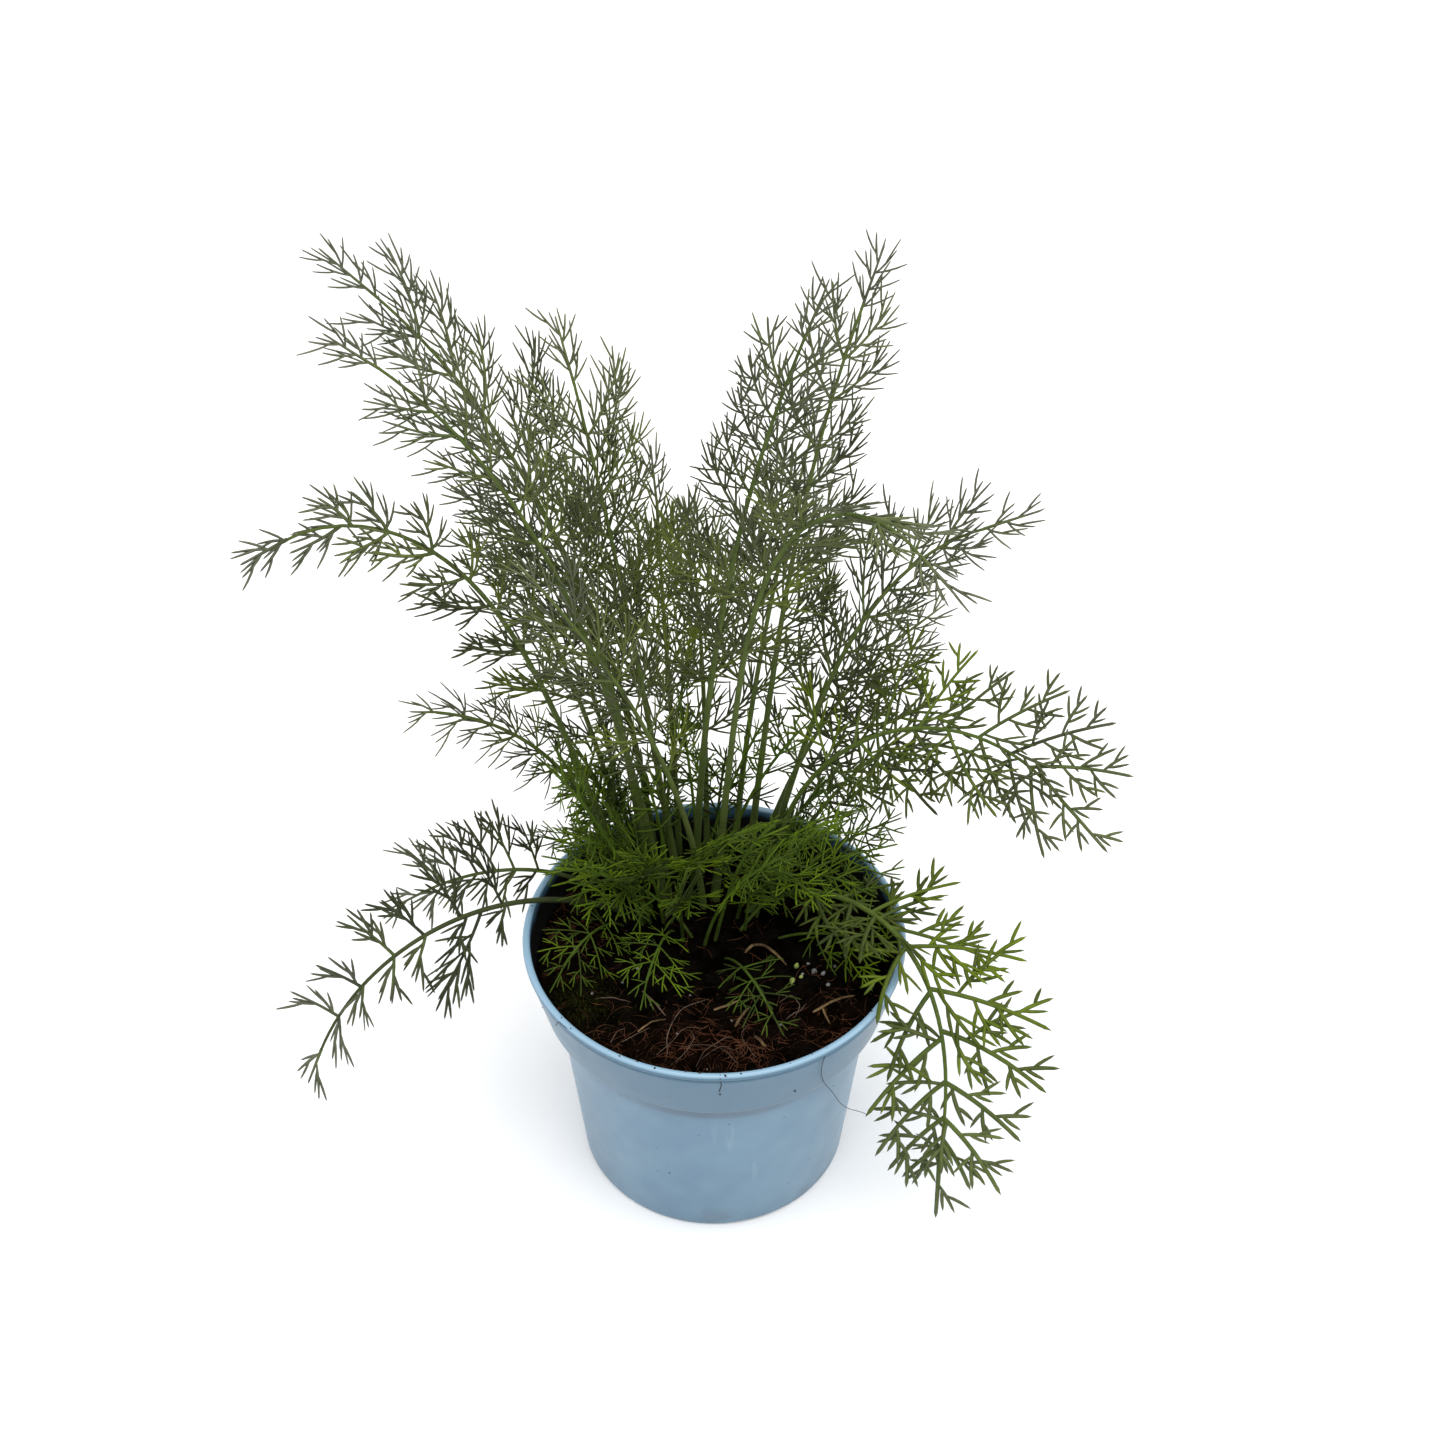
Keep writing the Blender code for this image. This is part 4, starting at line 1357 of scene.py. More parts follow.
class LeafPiece:
    """Grows one leaf, order by order, into a batch of tubes.

    A spread is how far a draw may lie to either side, and a pair of lengths or curls is
    the least and the most that a draw scales one by. A power above 1 crowds places
    towards the foot, and one below 1 towards the tip. A level is leaf_order at the foot
    of an order's shoots, and LEVEL_RISE is what it gains to their tips.
    """

    BRANCH_RINGS = 9
    BRANCH_SIDES = 4
    STALK_RINGS = 44
    STALK_SIDES = 10
    BURIED = 4 * MM
    CHANCE_SPREAD = 0.45
    LOWEST_BRANCH = 0.78
    WIDEST_AT = 0.25
    LAST_PAIR_AT = 0.97
    END_BRANCH = 0.58
    END_ANGLE = 5
    PLACE_SPREAD = 0.012
    ANGLE_SPREAD = 6
    LENGTHS = (0.85, 1.12)
    CURLS = (0.7, 1.3)
    SHOOTS_BETWEEN = (0.04, 0.95)
    SHOOT_STAGGER = 0.25
    SHOOT_PLACE_SPREAD = 0.15
    SHOOT_ANGLE_SPREAD = 9
    SHOOT_LENGTHS = (0.78, 1.15)
    SHORTEST_LENGTHS = (0.8, 1.25)
    SHOOT_CURLS = (0.5, 1.5)
    INHERITED_CHANCE = 0.6
    PUSHES_UP = (0.35, 0.7, 1.2)
    TIP_POINT = 3.5
    PAIR_POWER = 0.9
    STALK_POWER = 1.3
    END_BRANCH_AT = 0.99
    BRANCH_LEVEL = 0.2
    SHOOT_LEVELS = (0.45, 0.75)
    LEVEL_RISE = 0.25

    def __init__(self, shape: LeafShape, seed: int, tubes: Tubes | None = None) -> None:
        """Start one leaf.

        Args:
            shape: the leaf
            seed: of its random draws
            tubes: batch that it grows into, or none for one of its own
        """
        self.shape = shape
        self.spine = Spine(shape)
        self.habit: Habit = shape.cut.value
        self.draw = random.Random(seed)
        self.tubes = Tubes() if tubes is None else tubes

    def stray(self, spread: float) -> float:
        """Draw a number within a spread to either side of zero."""
        return self.draw.uniform(-spread, spread)

    def chance(self) -> float:
        """Draw how fresh one shoot looks, around the leaf's own freshness."""
        return min(max(self.shape.fresh + self.stray(self.CHANCE_SPREAD), 0), 1)

    def outline(self, share: float) -> float:
        """Length of a side branch, as a share of the longest, along the leafy part.

        Args:
            share: share of the leafy part

        Returns:
            the length's share
        """
        if share < self.WIDEST_AT:
            return blend(self.LOWEST_BRANCH, 1, share / self.WIDEST_AT)
        return blend(1, self.habit.last, (share - self.WIDEST_AT) / (1 - self.WIDEST_AT))

    def branch_rows(self) -> list[tuple[float, int, float, float]]:
        """Choose where the side branches stand.

        Returns:
            share, hand, angle and length of each
        """
        shape = self.shape
        rows = []
        pairs = max(round(shape.pairs * shape.fill), shape.pairs)
        for number in range(pairs):
            place = (number / pairs) ** self.PAIR_POWER
            for hand, reach in zip((1, -1), shape.reach):
                share = blend(shape.bare, self.LAST_PAIR_AT, place)
                share += self.stray(self.PLACE_SPREAD)
                angle = blend(*self.habit.angle, place) + self.stray(self.ANGLE_SPREAD)
                length = reach * MM * self.outline(place) * self.draw.uniform(*self.LENGTHS)
                rows.append((share, hand, angle, length))
        end_length = max(shape.reach) * MM * self.END_BRANCH
        end_angle = self.draw.uniform(0, self.END_ANGLE)
        rows.append((self.END_BRANCH_AT, 1, end_angle, end_length))
        rows.extend((*stand, length * MM) for *stand, length in shape.extra)
        return rows

    def branches(self) -> Shoots:
        """Grow the side branches of the stalk and the one that ends it.

        Returns:
            the side branches
        """
        rows = self.branch_rows()
        roots, headings, towards, normals = [], [], [], []
        for share, hand, angle, _ in rows:
            forward, side, _ = self.spine.axes(share)
            leafy = max(share - self.shape.bare, 0) / (1 - self.shape.bare)
            side.rotate(Quaternion(forward, math.radians(self.shape.whirl * leafy**2)))
            up = forward.cross(side)
            lift = math.radians(self.stray(1) * self.habit.spread)
            outward = side * (hand * math.cos(lift)) + up * math.sin(lift)
            turn = math.radians(angle)
            heading = forward * math.cos(turn) + outward * math.sin(turn)
            rise = Vector((0, 0, self.shape.rise * math.sin(turn) if hand < 0 else 0))
            roots.append(self.spine.point(share))
            headings.append((heading + rise).normalized())
            towards.append((forward + rise).normalized())
            normals.append(up)
        lengths = np.array([row[3] for row in rows])
        ahead = np.array(towards)
        lines = self.grow_clear(np.array(roots), np.array(headings), ahead, lengths)
        chance = np.array([self.chance() for _ in rows])
        run = np.array([row[0] for row in rows])
        return Shoots(lines, np.array(normals), ahead, lengths, chance, run)

    def grow_clear(
        self, roots: np.ndarray, headings: np.ndarray, towards: np.ndarray, lengths: np.ndarray
    ) -> np.ndarray:
        """Grow the side branches, lifting those that would meet the pot or the compost.

        Args:
            roots: starting points
            headings: starting directions
            towards: directions to bend towards
            lengths: lengths

        Returns:
            lines
        """
        curl = np.array([self.habit.curl * self.draw.uniform(*self.CURLS) for _ in roots])
        lines = bent(roots, headings, towards, lengths, curl, self.BRANCH_RINGS)
        for push in self.PUSHES_UP:
            blocked = ~clear_of_pot(lines[:, 2:])
            raised = unit(headings + np.array([0, 0, push]))
            again = bent(roots, raised, towards, lengths, curl, self.BRANCH_RINGS)
            lines[blocked] = again[blocked]
        return lines

    def next_rows(self, parents: Shoots, order: Order) -> np.ndarray:
        """Choose where the shoots of the next order stand.

        Args:
            parents: shoots that carry them
            order: how they stand

        Returns:
            table of parent, share, hand, length, angle, lift, chance and curl
        """
        rows = []
        grain = self.shape.grain
        lowest, highest = self.SHOOTS_BETWEEN
        for index, length in enumerate(parents.lengths):
            count = max(round(length * (1 - order.first) / (order.gap * grain)), 1)
            for number in range(count):
                for hand in (1, -1):
                    step = number + self.SHOOT_STAGGER * hand
                    step = (step + self.stray(self.SHOOT_PLACE_SPREAD)) / count
                    place = order.first + (highest - order.first) * step
                    place = min(max(place, lowest), highest)
                    size = length * order.share * (1 - place) ** order.fall
                    size *= self.draw.uniform(*self.SHOOT_LENGTHS)
                    least = order.shortest * grain * self.draw.uniform(*self.SHORTEST_LENGTHS)
                    angle = blend(*order.angle, place) + self.stray(self.SHOOT_ANGLE_SPREAD)
                    lift = self.stray(1) * order.spread
                    inherited = self.INHERITED_CHANCE * parents.chance[index]
                    chance = inherited + (1 - self.INHERITED_CHANCE) * self.chance()
                    curl = order.curl * self.draw.uniform(*self.SHOOT_CURLS)
                    size = max(size, least)
                    rows.append((index, place, hand, size, angle, lift, chance, curl))
        return np.array(rows)

    def next_order(self, parents: Shoots, order: Order) -> Shoots:
        """Shoots of the next order, in pairs along their parents.

        Args:
            parents: shoots that carry them
            order: how they stand

        Returns:
            the new shoots that stay clear of the pot and the compost
        """
        table = self.next_rows(parents, order)
        index = table[:, 0].astype(int)
        roots, forward = parents.at(index, table[:, 1])
        side = unit(np.cross(parents.normals[index], forward))
        up = np.cross(forward, side)
        side = side * table[:, 2:3]
        angle, lift = np.radians(table[:, 4:5]), np.radians(table[:, 5:6])
        outward = side * np.cos(lift) + up * np.sin(lift)
        heading = forward * np.cos(angle) + outward * np.sin(angle)
        ahead = parents.ahead[index]
        towards = unit(forward * (1 - order.sweep) + ahead * order.sweep)
        lines = bent(roots, heading, towards, table[:, 3], table[:, 7], order.rings)
        normals = unit(up * np.cos(lift) - side * np.sin(lift))
        made = Shoots(lines, normals, ahead, table[:, 3], table[:, 6], parents.run[index])
        return made.kept(clear_of_pot(lines[:, 1:]))

    def thicken(
        self, shoots: Shoots, radius: Triple, level: float, sides: int, flat: float
    ) -> None:
        """Give shoots their thickness.

        Args:
            shoots: centre lines
            radius: at the foot, in the middle and at the tip
            level: leaf_order at the foot of the shoots
            sides: number of sides
            flat: thickness as a share of the width
        """
        rings = shoots.lines.shape[1]
        count = len(shoots.lines)
        along = np.linspace(0, 1, rings)
        girth = np.interp(along, (0, 0.5, 1), radius) * self.shape.width
        self.tubes.add(
            shoots.lines,
            np.tile(girth, (count, 1)),
            shoots.normals,
            sides,
            flat,
            point=self.TIP_POINT,
            leaf_order=np.tile(level + self.LEVEL_RISE * along, (count, 1)),
            leaf_chance=np.repeat(shoots.chance[:, None], rings, axis=1),
            leaf_run=np.repeat(shoots.run[:, None], rings, axis=1),
        )

    def add_stalk(self) -> None:
        """The stalk, from just below the compost to the leaf's tip."""
        shares = np.linspace(0, 1, self.STALK_RINGS) ** self.STALK_POWER
        buried = self.spine.points[0] - self.spine.tangent(0) * self.BURIED
        line = np.array([buried] + [self.spine.point(share) for share in shares])
        radii = np.array([self.spine.radius(0)] + [self.spine.radius(share) for share in shares])
        zeros = np.zeros((1, len(line)))
        self.tubes.add(
            line[None],
            radii[None],
            np.array([self.spine.axes(0.5)[2]]),
            self.STALK_SIDES,
            leaf_order=zeros,
            leaf_chance=zeros + self.shape.fresh,
            leaf_run=np.concatenate([[0], shares])[None],
        )

    def grow(self) -> Tubes:
        """Grow every order of the leaf.

        Returns:
            the batch of tubes
        """
        self.add_stalk()
        shoots = self.branches()
        self.thicken(shoots, self.habit.radius, self.BRANCH_LEVEL, self.BRANCH_SIDES, 1.0)
        for order, level in zip(self.habit.orders, self.SHOOT_LEVELS):
            shoots = self.next_order(shoots, order)
            self.thicken(shoots, order.radius, level, self.habit.sides, order.flat)
        return self.tubes


@dataclass(frozen=True)
class Crown:
    """Heart of the tuft: short stems and small young leaves between the stalks' feet.

    The small leaves that the photograph shows are placed one by one. Each row of arching
    holds the foot's x and y, the heading, the lean at the foot and at the tip, the length,
    the reach and the freshness. The short stems around them are drawn at random.
    """

    centre: tuple[float, float] = (-8, 25)
    half_size: tuple[float, float] = (29, 22)
    stems: int = 30
    arching: tuple[tuple[float, ...], ...] = (
        (-8, 28, 270, 8, 60, 46, 14, 0.75),
        (0, 31, 285, 4, 62, 66, 18, 0.85),
        (9, 29, -25, 10, 70, 62, 17, 0.8),
        (-18, 30, 215, 12, 70, 60, 16, 0.5),
        (-24, 33, -5, 34, 98, 52, 12, 0.5),
        (4, 27, -35, 20, 92, 52, 15, 0.8),
        (12, 26, -15, 26, 98, 48, 14, 0.6),
        (13, 35, 12, 20, 86, 46, 14, 0.45),
        (-10, 17, 285, 8, 74, 34, 14, 0.85),
        (-23, 23, 235, 14, 84, 36, 13, 0.65),
        (28, 33, 8, 28, 84, 40, 13, 0.5),
        (-34, 34, 175, 20, 90, 34, 12, 0.4),
        (-26, 46, 130, 22, 96, 44, 14, 0.6),
        (-2, 52, 95, 26, 104, 42, 14, 0.7),
        (20, 44, 50, 24, 98, 42, 14, 0.5),
    )
    seed: int = 40

    def stem(self, draw: random.Random, number: int) -> LeafShape:
        """Choose one upright stem with a few leaflets at its top.

        Args:
            draw: source of the random numbers
            number: the stem's number

        Returns:
            its shape
        """
        turn = draw.uniform(0, math.tau)
        out = math.sqrt(draw.random())
        x = self.centre[0] + self.half_size[0] * out * math.cos(turn)
        y = self.centre[1] + self.half_size[1] * out * math.sin(turn)
        lean = 3 + 12 * out + draw.uniform(-3, 5)
        reach = draw.uniform(8, 14)
        return LeafShape(
            f"stem_{number}", (x, y),
            heading=math.degrees(turn) + draw.uniform(-50, 50), swing=draw.uniform(-25, 25),
            lean=(lean, lean + draw.uniform(5, 45)), arch=draw.uniform(1, 2.4),
            length=draw.uniform(34, 86), bare=draw.uniform(0.5, 0.65),
            reach=(reach, reach), pairs=3, roll=draw.uniform(-60, 60), cut=COARSE, fill=1.0,
            grain=draw.uniform(0.7, 0.85), width=draw.uniform(0.44, 0.62),
            fresh=draw.uniform(0.0, 0.8),
        )

    def arch(self, draw: random.Random, row: tuple[float, ...]) -> LeafShape:
        """Make one small arching leaf from its row.

        Args:
            draw: source of the random numbers
            row: the leaf's row in arching

        Returns:
            its shape
        """
        x, y, heading, foot_lean, tip_lean, length, reach, fresh = row
        return LeafShape(
            "arch", (x, y), heading, swing=draw.uniform(-20, 20), lean=(foot_lean, tip_lean),
            arch=1.1, length=length, bare=0.42, reach=(reach, reach), pairs=4,
            roll=draw.uniform(-25, 25), cut=COARSE, fill=1.0, grain=draw.uniform(0.66, 0.78),
            width=0.44, fresh=fresh,
        )

    def build(self, finish: bpy.types.Material) -> None:
        """Grow the small leaves as one piece.

        Args:
            finish: material of young leaves
        """
        draw = random.Random(self.seed)
        shapes = [self.stem(draw, number) for number in range(self.stems)]
        shapes += [self.arch(draw, row) for row in self.arching]
        tubes = Tubes()
        for number, shape in enumerate(shapes):
            LeafPiece(shape, self.seed + number, tubes).grow()
        enrol(tubes.to_object("leaf_crown"), finish, "coarse_leaf")


@dataclass(frozen=True)
class Foliage:
    """All the leaves of the tuft."""

    fine: LeafFinish = LeafFinish(
        "fine_leaf", foot=(0.07, 0.1, 0.022), stalk=(0.08, 0.108, 0.028),
        leaflet=(0.066, 0.078, 0.031), dull=(0.036, 0.042, 0.021),
        fresh=(0.13, 0.165, 0.02), bloom=(0.15, 0.16, 0.115), bloom_share=0.58,
    )
    coarse: LeafFinish = LeafFinish(
        "coarse_leaf", foot=(0.065, 0.1, 0.022), stalk=(0.075, 0.108, 0.02),
        leaflet=(0.06, 0.082, 0.014), dull=(0.028, 0.035, 0.014),
        fresh=(0.125, 0.175, 0.01), bloom=(0.125, 0.135, 0.085), bloom_share=0.5,
    )
    young: LeafFinish = LeafFinish(
        "young_leaf", foot=(0.06, 0.09, 0.015), stalk=(0.058, 0.098, 0.01),
        leaflet=(0.05, 0.084, 0.006), dull=(0.02, 0.03, 0.007),
        fresh=(0.125, 0.2, 0.004), bloom=(0.09, 0.14, 0.01), bloom_share=0.3,
    )

    def build(self) -> None:
        """Build and dress every leaf."""
        fine, coarse, young = self.fine.make(), self.coarse.make(), self.young.make()
        for seed, shape in enumerate(LEAVES):
            piece = LeafPiece(shape, seed).grow().to_object(f"leaf_{shape.name}")
            grown = young if shape.name.startswith("young") else coarse
            finish = grown if shape.cut is COARSE else fine
            enrol(piece, finish, shape.slot, f"frond_{shape.name}")
        Crown().build(young)


@dataclass(frozen=True)
class NurseryPot:
    """Round moulded pot with a rolled lip, a collar and a drawn-in shoulder below it."""

    sides: int = 192
    notch_angles: tuple[float, ...] = (-70, 20, 110, 200)
    notch_width: float = 23.5 * MM
    notch_height: float = 1.3 * MM
    notch_depth: float = 3 * MM
    drain_count: int = 6
    drain_radius: float = 3.5 * MM
    drain_circle: float = 30 * MM
    sharp_degrees: float = 50
    finish: PotFinish = PotFinish()

    def lip(self) -> list[tuple[float, float]]:
        """Walk over the rolled lip, from inside to outside.

        Returns:
            radius and height of each point
        """
        points = []
        for degrees in range(165, -76, -15):
            angle = math.radians(degrees)
            radius = RIM_RADIUS - LIP_RADIUS + LIP_RADIUS * math.cos(angle)
            points.append((radius, POT_HEIGHT - LIP_RADIUS + LIP_RADIUS * math.sin(angle)))
        return points

    def outline(self) -> list[tuple[float, float]]:
        """Walk up the inside, over the lip and down the outside.

        Returns:
            radius and height of each point
        """
        under_lip = RIM_RADIUS - 0.6 * MM
        return [
            (0, FLOOR),
            (BASE_RADIUS - WALL - 3 * MM, FLOOR),
            (BASE_RADIUS - WALL - 0.6 * MM, FLOOR + 0.7 * MM),
            (BASE_RADIUS - WALL + 0.4 * MM, FLOOR + 3 * MM),
            (BODY_TOP_RADIUS - WALL, SHOULDER_FOOT + WALL / 2),
            (COLLAR_FOOT_RADIUS - WALL, COLLAR_FOOT + WALL / 2),
            (under_lip - WALL, POT_HEIGHT - 4 * LIP_RADIUS),
            *self.lip(),
            (under_lip, POT_HEIGHT - 2.3 * LIP_RADIUS),
            (under_lip - 0.2 * MM, POT_HEIGHT - 3.2 * LIP_RADIUS),
            (COLLAR_FOOT_RADIUS + 0.35 * MM, COLLAR_FOOT + 2.2 * MM),
            (COLLAR_FOOT_RADIUS + 0.1 * MM, COLLAR_FOOT + 1.1 * MM),
            (COLLAR_FOOT_RADIUS - 0.2 * MM, COLLAR_FOOT + 0.4 * MM),
            (COLLAR_FOOT_RADIUS - 0.8 * MM, COLLAR_FOOT - 0.3 * MM),
            (BODY_TOP_RADIUS + 1.6 * MM, SHOULDER_FOOT + 1.3 * MM),
            (BODY_TOP_RADIUS + 0.6 * MM, SHOULDER_FOOT + 0.1 * MM),
            (BODY_TOP_RADIUS, SHOULDER_FOOT - 1.6 * MM),
            (wall_outside(1.8 * MM), 1.8 * MM),
            (BASE_RADIUS - 0.35 * MM, 0.6 * MM),
            (BASE_RADIUS - 1.2 * MM, 0),
            (0, 0),
        ]

    def cutter(self, shape: bmesh.types.BMesh, place: Matrix) -> bpy.types.Object:
        """Make an object that only cuts the pot.

        Args:
            shape: its form, which is used up
            place: where it goes

        Returns:
            the object
        """
        shape.transform(place)
        mesh = bpy.data.meshes.new("pot_cutter")
        shape.to_mesh(mesh)
        shape.free()
        return new_object("pot_cutter", mesh)

    def cutters(self) -> list[bpy.types.Object]:
        """Make what cuts the notches in the edge of the base and the drain holes.

        Returns:
            the cutting objects
        """
        made = []
        sizes = (4 * self.notch_depth, self.notch_width, 2 * self.notch_height, 1)
        shift = Matrix.Translation((BASE_RADIUS + self.notch_depth, 0, 0))
        for degrees in self.notch_angles:
            shape = bmesh.new()
            bmesh.ops.create_cube(shape, size=1)
            turn = Matrix.Rotation(math.radians(degrees), 4, "Z")
            made.append(self.cutter(shape, turn @ shift @ Matrix.Diagonal(sizes)))
        for number in range(self.drain_count):
            angle = math.tau * (number + 0.5) / self.drain_count
            shape = bmesh.new()
            bmesh.ops.create_cone(
                shape, cap_ends=True, segments=32, depth=4 * FLOOR,
                radius1=self.drain_radius, radius2=self.drain_radius,
            )
            place = (*polar(self.drain_circle, angle), FLOOR)
            made.append(self.cutter(shape, Matrix.Translation(place)))
        return made

    def build(self) -> None:
        """Turn the outline, cut it and dress it."""
        outline = self.outline()
        mesh = bpy.data.meshes.new("nursery_pot")
        edges = [(number, number + 1) for number in range(len(outline) - 1)]
        mesh.from_pydata([(radius, 0, height) for radius, height in outline], edges, [])
        pot = new_object("nursery_pot", mesh)
        screw = pot.modifiers.new("turn", "SCREW")
        screw.steps = screw.render_steps = self.sides
        screw.use_merge_vertices = True
        screw.merge_threshold = 0.01 * MM
        cutters = self.cutters()
        for cutter in cutters:
            boolean = pot.modifiers.new("cut", "BOOLEAN")
            boolean.operation = "DIFFERENCE"
            boolean.object = cutter
        bpy.context.view_layer.update()
        graph = bpy.context.evaluated_depsgraph_get()
        finished = bpy.data.meshes.new_from_object(pot.evaluated_get(graph))
        pot.modifiers.clear()
        pot.data = finished
        for cutter in cutters:
            bpy.data.objects.remove(cutter)
        pot.data.shade_smooth()
        pot.data.set_sharp_from_angle(angle=math.radians(self.sharp_degrees))
        enrol(pot, self.finish.make(), "pot_plastic", "pot")


@dataclass(frozen=True)
class CompostBed:
    """Compost that fills the pot."""

    rings: int = 80
    sides: int = 230
    edge_gap: float = 0.15 * MM

    def lower_edges(self) -> list[tuple[float, float]]:
        """Choose the rings below the top.

        Returns:
            radius and height of each
        """
        gap = WALL + self.edge_gap
        lift = WALL / 2 + self.edge_gap
        return [
            (COLLAR_FOOT_RADIUS - gap, COLLAR_FOOT + lift),
            (BODY_TOP_RADIUS - gap, SHOULDER_FOOT + lift),
            (BASE_RADIUS - gap - 0.3 * MM, FLOOR + 3.4 * MM),
            (BASE_RADIUS - gap - 3 * MM, FLOOR + 0.3 * MM),
        ]

    def points(self) -> list[tuple[float, float, float]]:
        """Place the top's rings, the rings below and the middle below.

        Returns:
            every point of the body
        """
        edge = wall_outside(SOIL_LEVEL) - WALL - self.edge_gap - 0.5 * MM
        points = [(0.0, 0.0, soil_top(0, 0))]
        turns = [math.tau * side / self.sides for side in range(self.sides)]
        for ring in range(1, self.rings + 1):
            radius = edge * ring / self.rings
            for turn in turns:
                x, y = polar(radius, turn)
                points.append((x, y, soil_top(x, y)))
        for radius, height in self.lower_edges():
            points.extend((*polar(radius, turn), height) for turn in turns)
        points.append((0, 0, FLOOR + 0.3 * MM))
        return points

    def build(self, finish: bpy.types.Material) -> None:
        """Make the filling as one closed body.

        Args:
            finish: material of compost
        """
        points = self.points()
        rows = self.rings + len(self.lower_edges())
        faces = []
        for side in range(self.sides):
            after = (side + 1) % self.sides
            faces.append((0, 1 + side, 1 + after))
            for row in range(rows - 1):
                start = 1 + row * self.sides
                end = start + self.sides
                faces.append((start + side, end + side, end + after, start + after))
            last = 1 + (rows - 1) * self.sides
            faces.append((last + side, len(points) - 1, last + after))
        mesh = bpy.data.meshes.new("compost_bed")
        mesh.from_pydata(points, [], faces)
        for label, share in (("coir", coir_share), ("moss", MOSS_PATCH.share)):
            attribute = mesh.attributes.new(label, "FLOAT", "POINT")
            attribute.data.foreach_set("value", [share(x, y) for x, y, _ in points])
        mesh.shade_smooth()
        enrol(new_object("compost_bed", mesh), finish, "compost", "soil")


@dataclass
class Lumps:
    """Batch of small uneven lumps, gathered into one mesh.

    A pair is the least and the most of a draw: of how far a lump is stretched along each
    axis, and of how much of the compost's brown it takes.
    """

    STRETCH = (0.6, 1.25)
    HEIGHT = 0.8
    BROWN = (0.2, 1.6)
    MOSSY = 0.6

    seed: int
    places: list[tuple[float, float, float, float]] = field(default_factory=list)

    def lay(self, x: float, y: float, size: float, sink: float = 0.3) -> None:
        """Lay a lump on the compost.

        Args:
            x: place
            y: place
            size: half its width
            sink: share of its size that lies below the surface
        """
        self.places.append((x, y, soil_top(x, y) + size * (self.HEIGHT - 2 * sink), size))

    def to_object(self, name: str, subdivisions: int, rough: float) -> bpy.types.Object:
        """Make the object.

        Args:
            name: the piece's name
            subdivisions: 1 for a plain lump, 2 for a smoother one
            rough: how uneven each lump is, 0 to 1

        Returns:
            the object
        """
        shape = bmesh.new()
        bmesh.ops.create_icosphere(shape, subdivisions=subdivisions, radius=1)
        ball = np.array([vertex.co[:] for vertex in shape.verts])
        faces = np.array([[vertex.index for vertex in face.verts] for face in shape.faces])
        shape.free()
        draw = np.random.default_rng(self.seed)
        table = np.array(self.places)
        count, corners = len(table), len(ball)
        stretch = draw.uniform(*self.STRETCH, (count, 1, 3)) * np.array([1, 1, self.HEIGHT])
        wobble = 1 + draw.uniform(-rough, rough, (count, corners, 1))
        turns = draw.uniform(0, math.tau, count)
        body = ball[None] * wobble * stretch * table[:, None, 3:4]
        cosine, sine = np.cos(turns)[:, None], np.sin(turns)[:, None]
        x, y, z = np.moveaxis(body, -1, 0)
        turned = np.stack([x * cosine - y * sine, x * sine + y * cosine, z], -1)
        points = turned + table[:, None, :3]
        triples = (faces[None] + (np.arange(count) * corners)[:, None, None]).reshape(-1, 3)
        coir = np.array([coir_share(x, y) for x, y, _, _ in self.places])
        coir = np.clip(coir * draw.uniform(*self.BROWN, count), 0, 1)
        moss = [MOSS_PATCH.share(x, y) * self.MOSSY for x, y, _, _ in self.places]
        values = {"coir": np.repeat(coir, corners), "moss": np.repeat(moss, corners)}
        return mesh_piece(name, points.reshape(-1, 3), np.empty((0, 4), int), triples, values)


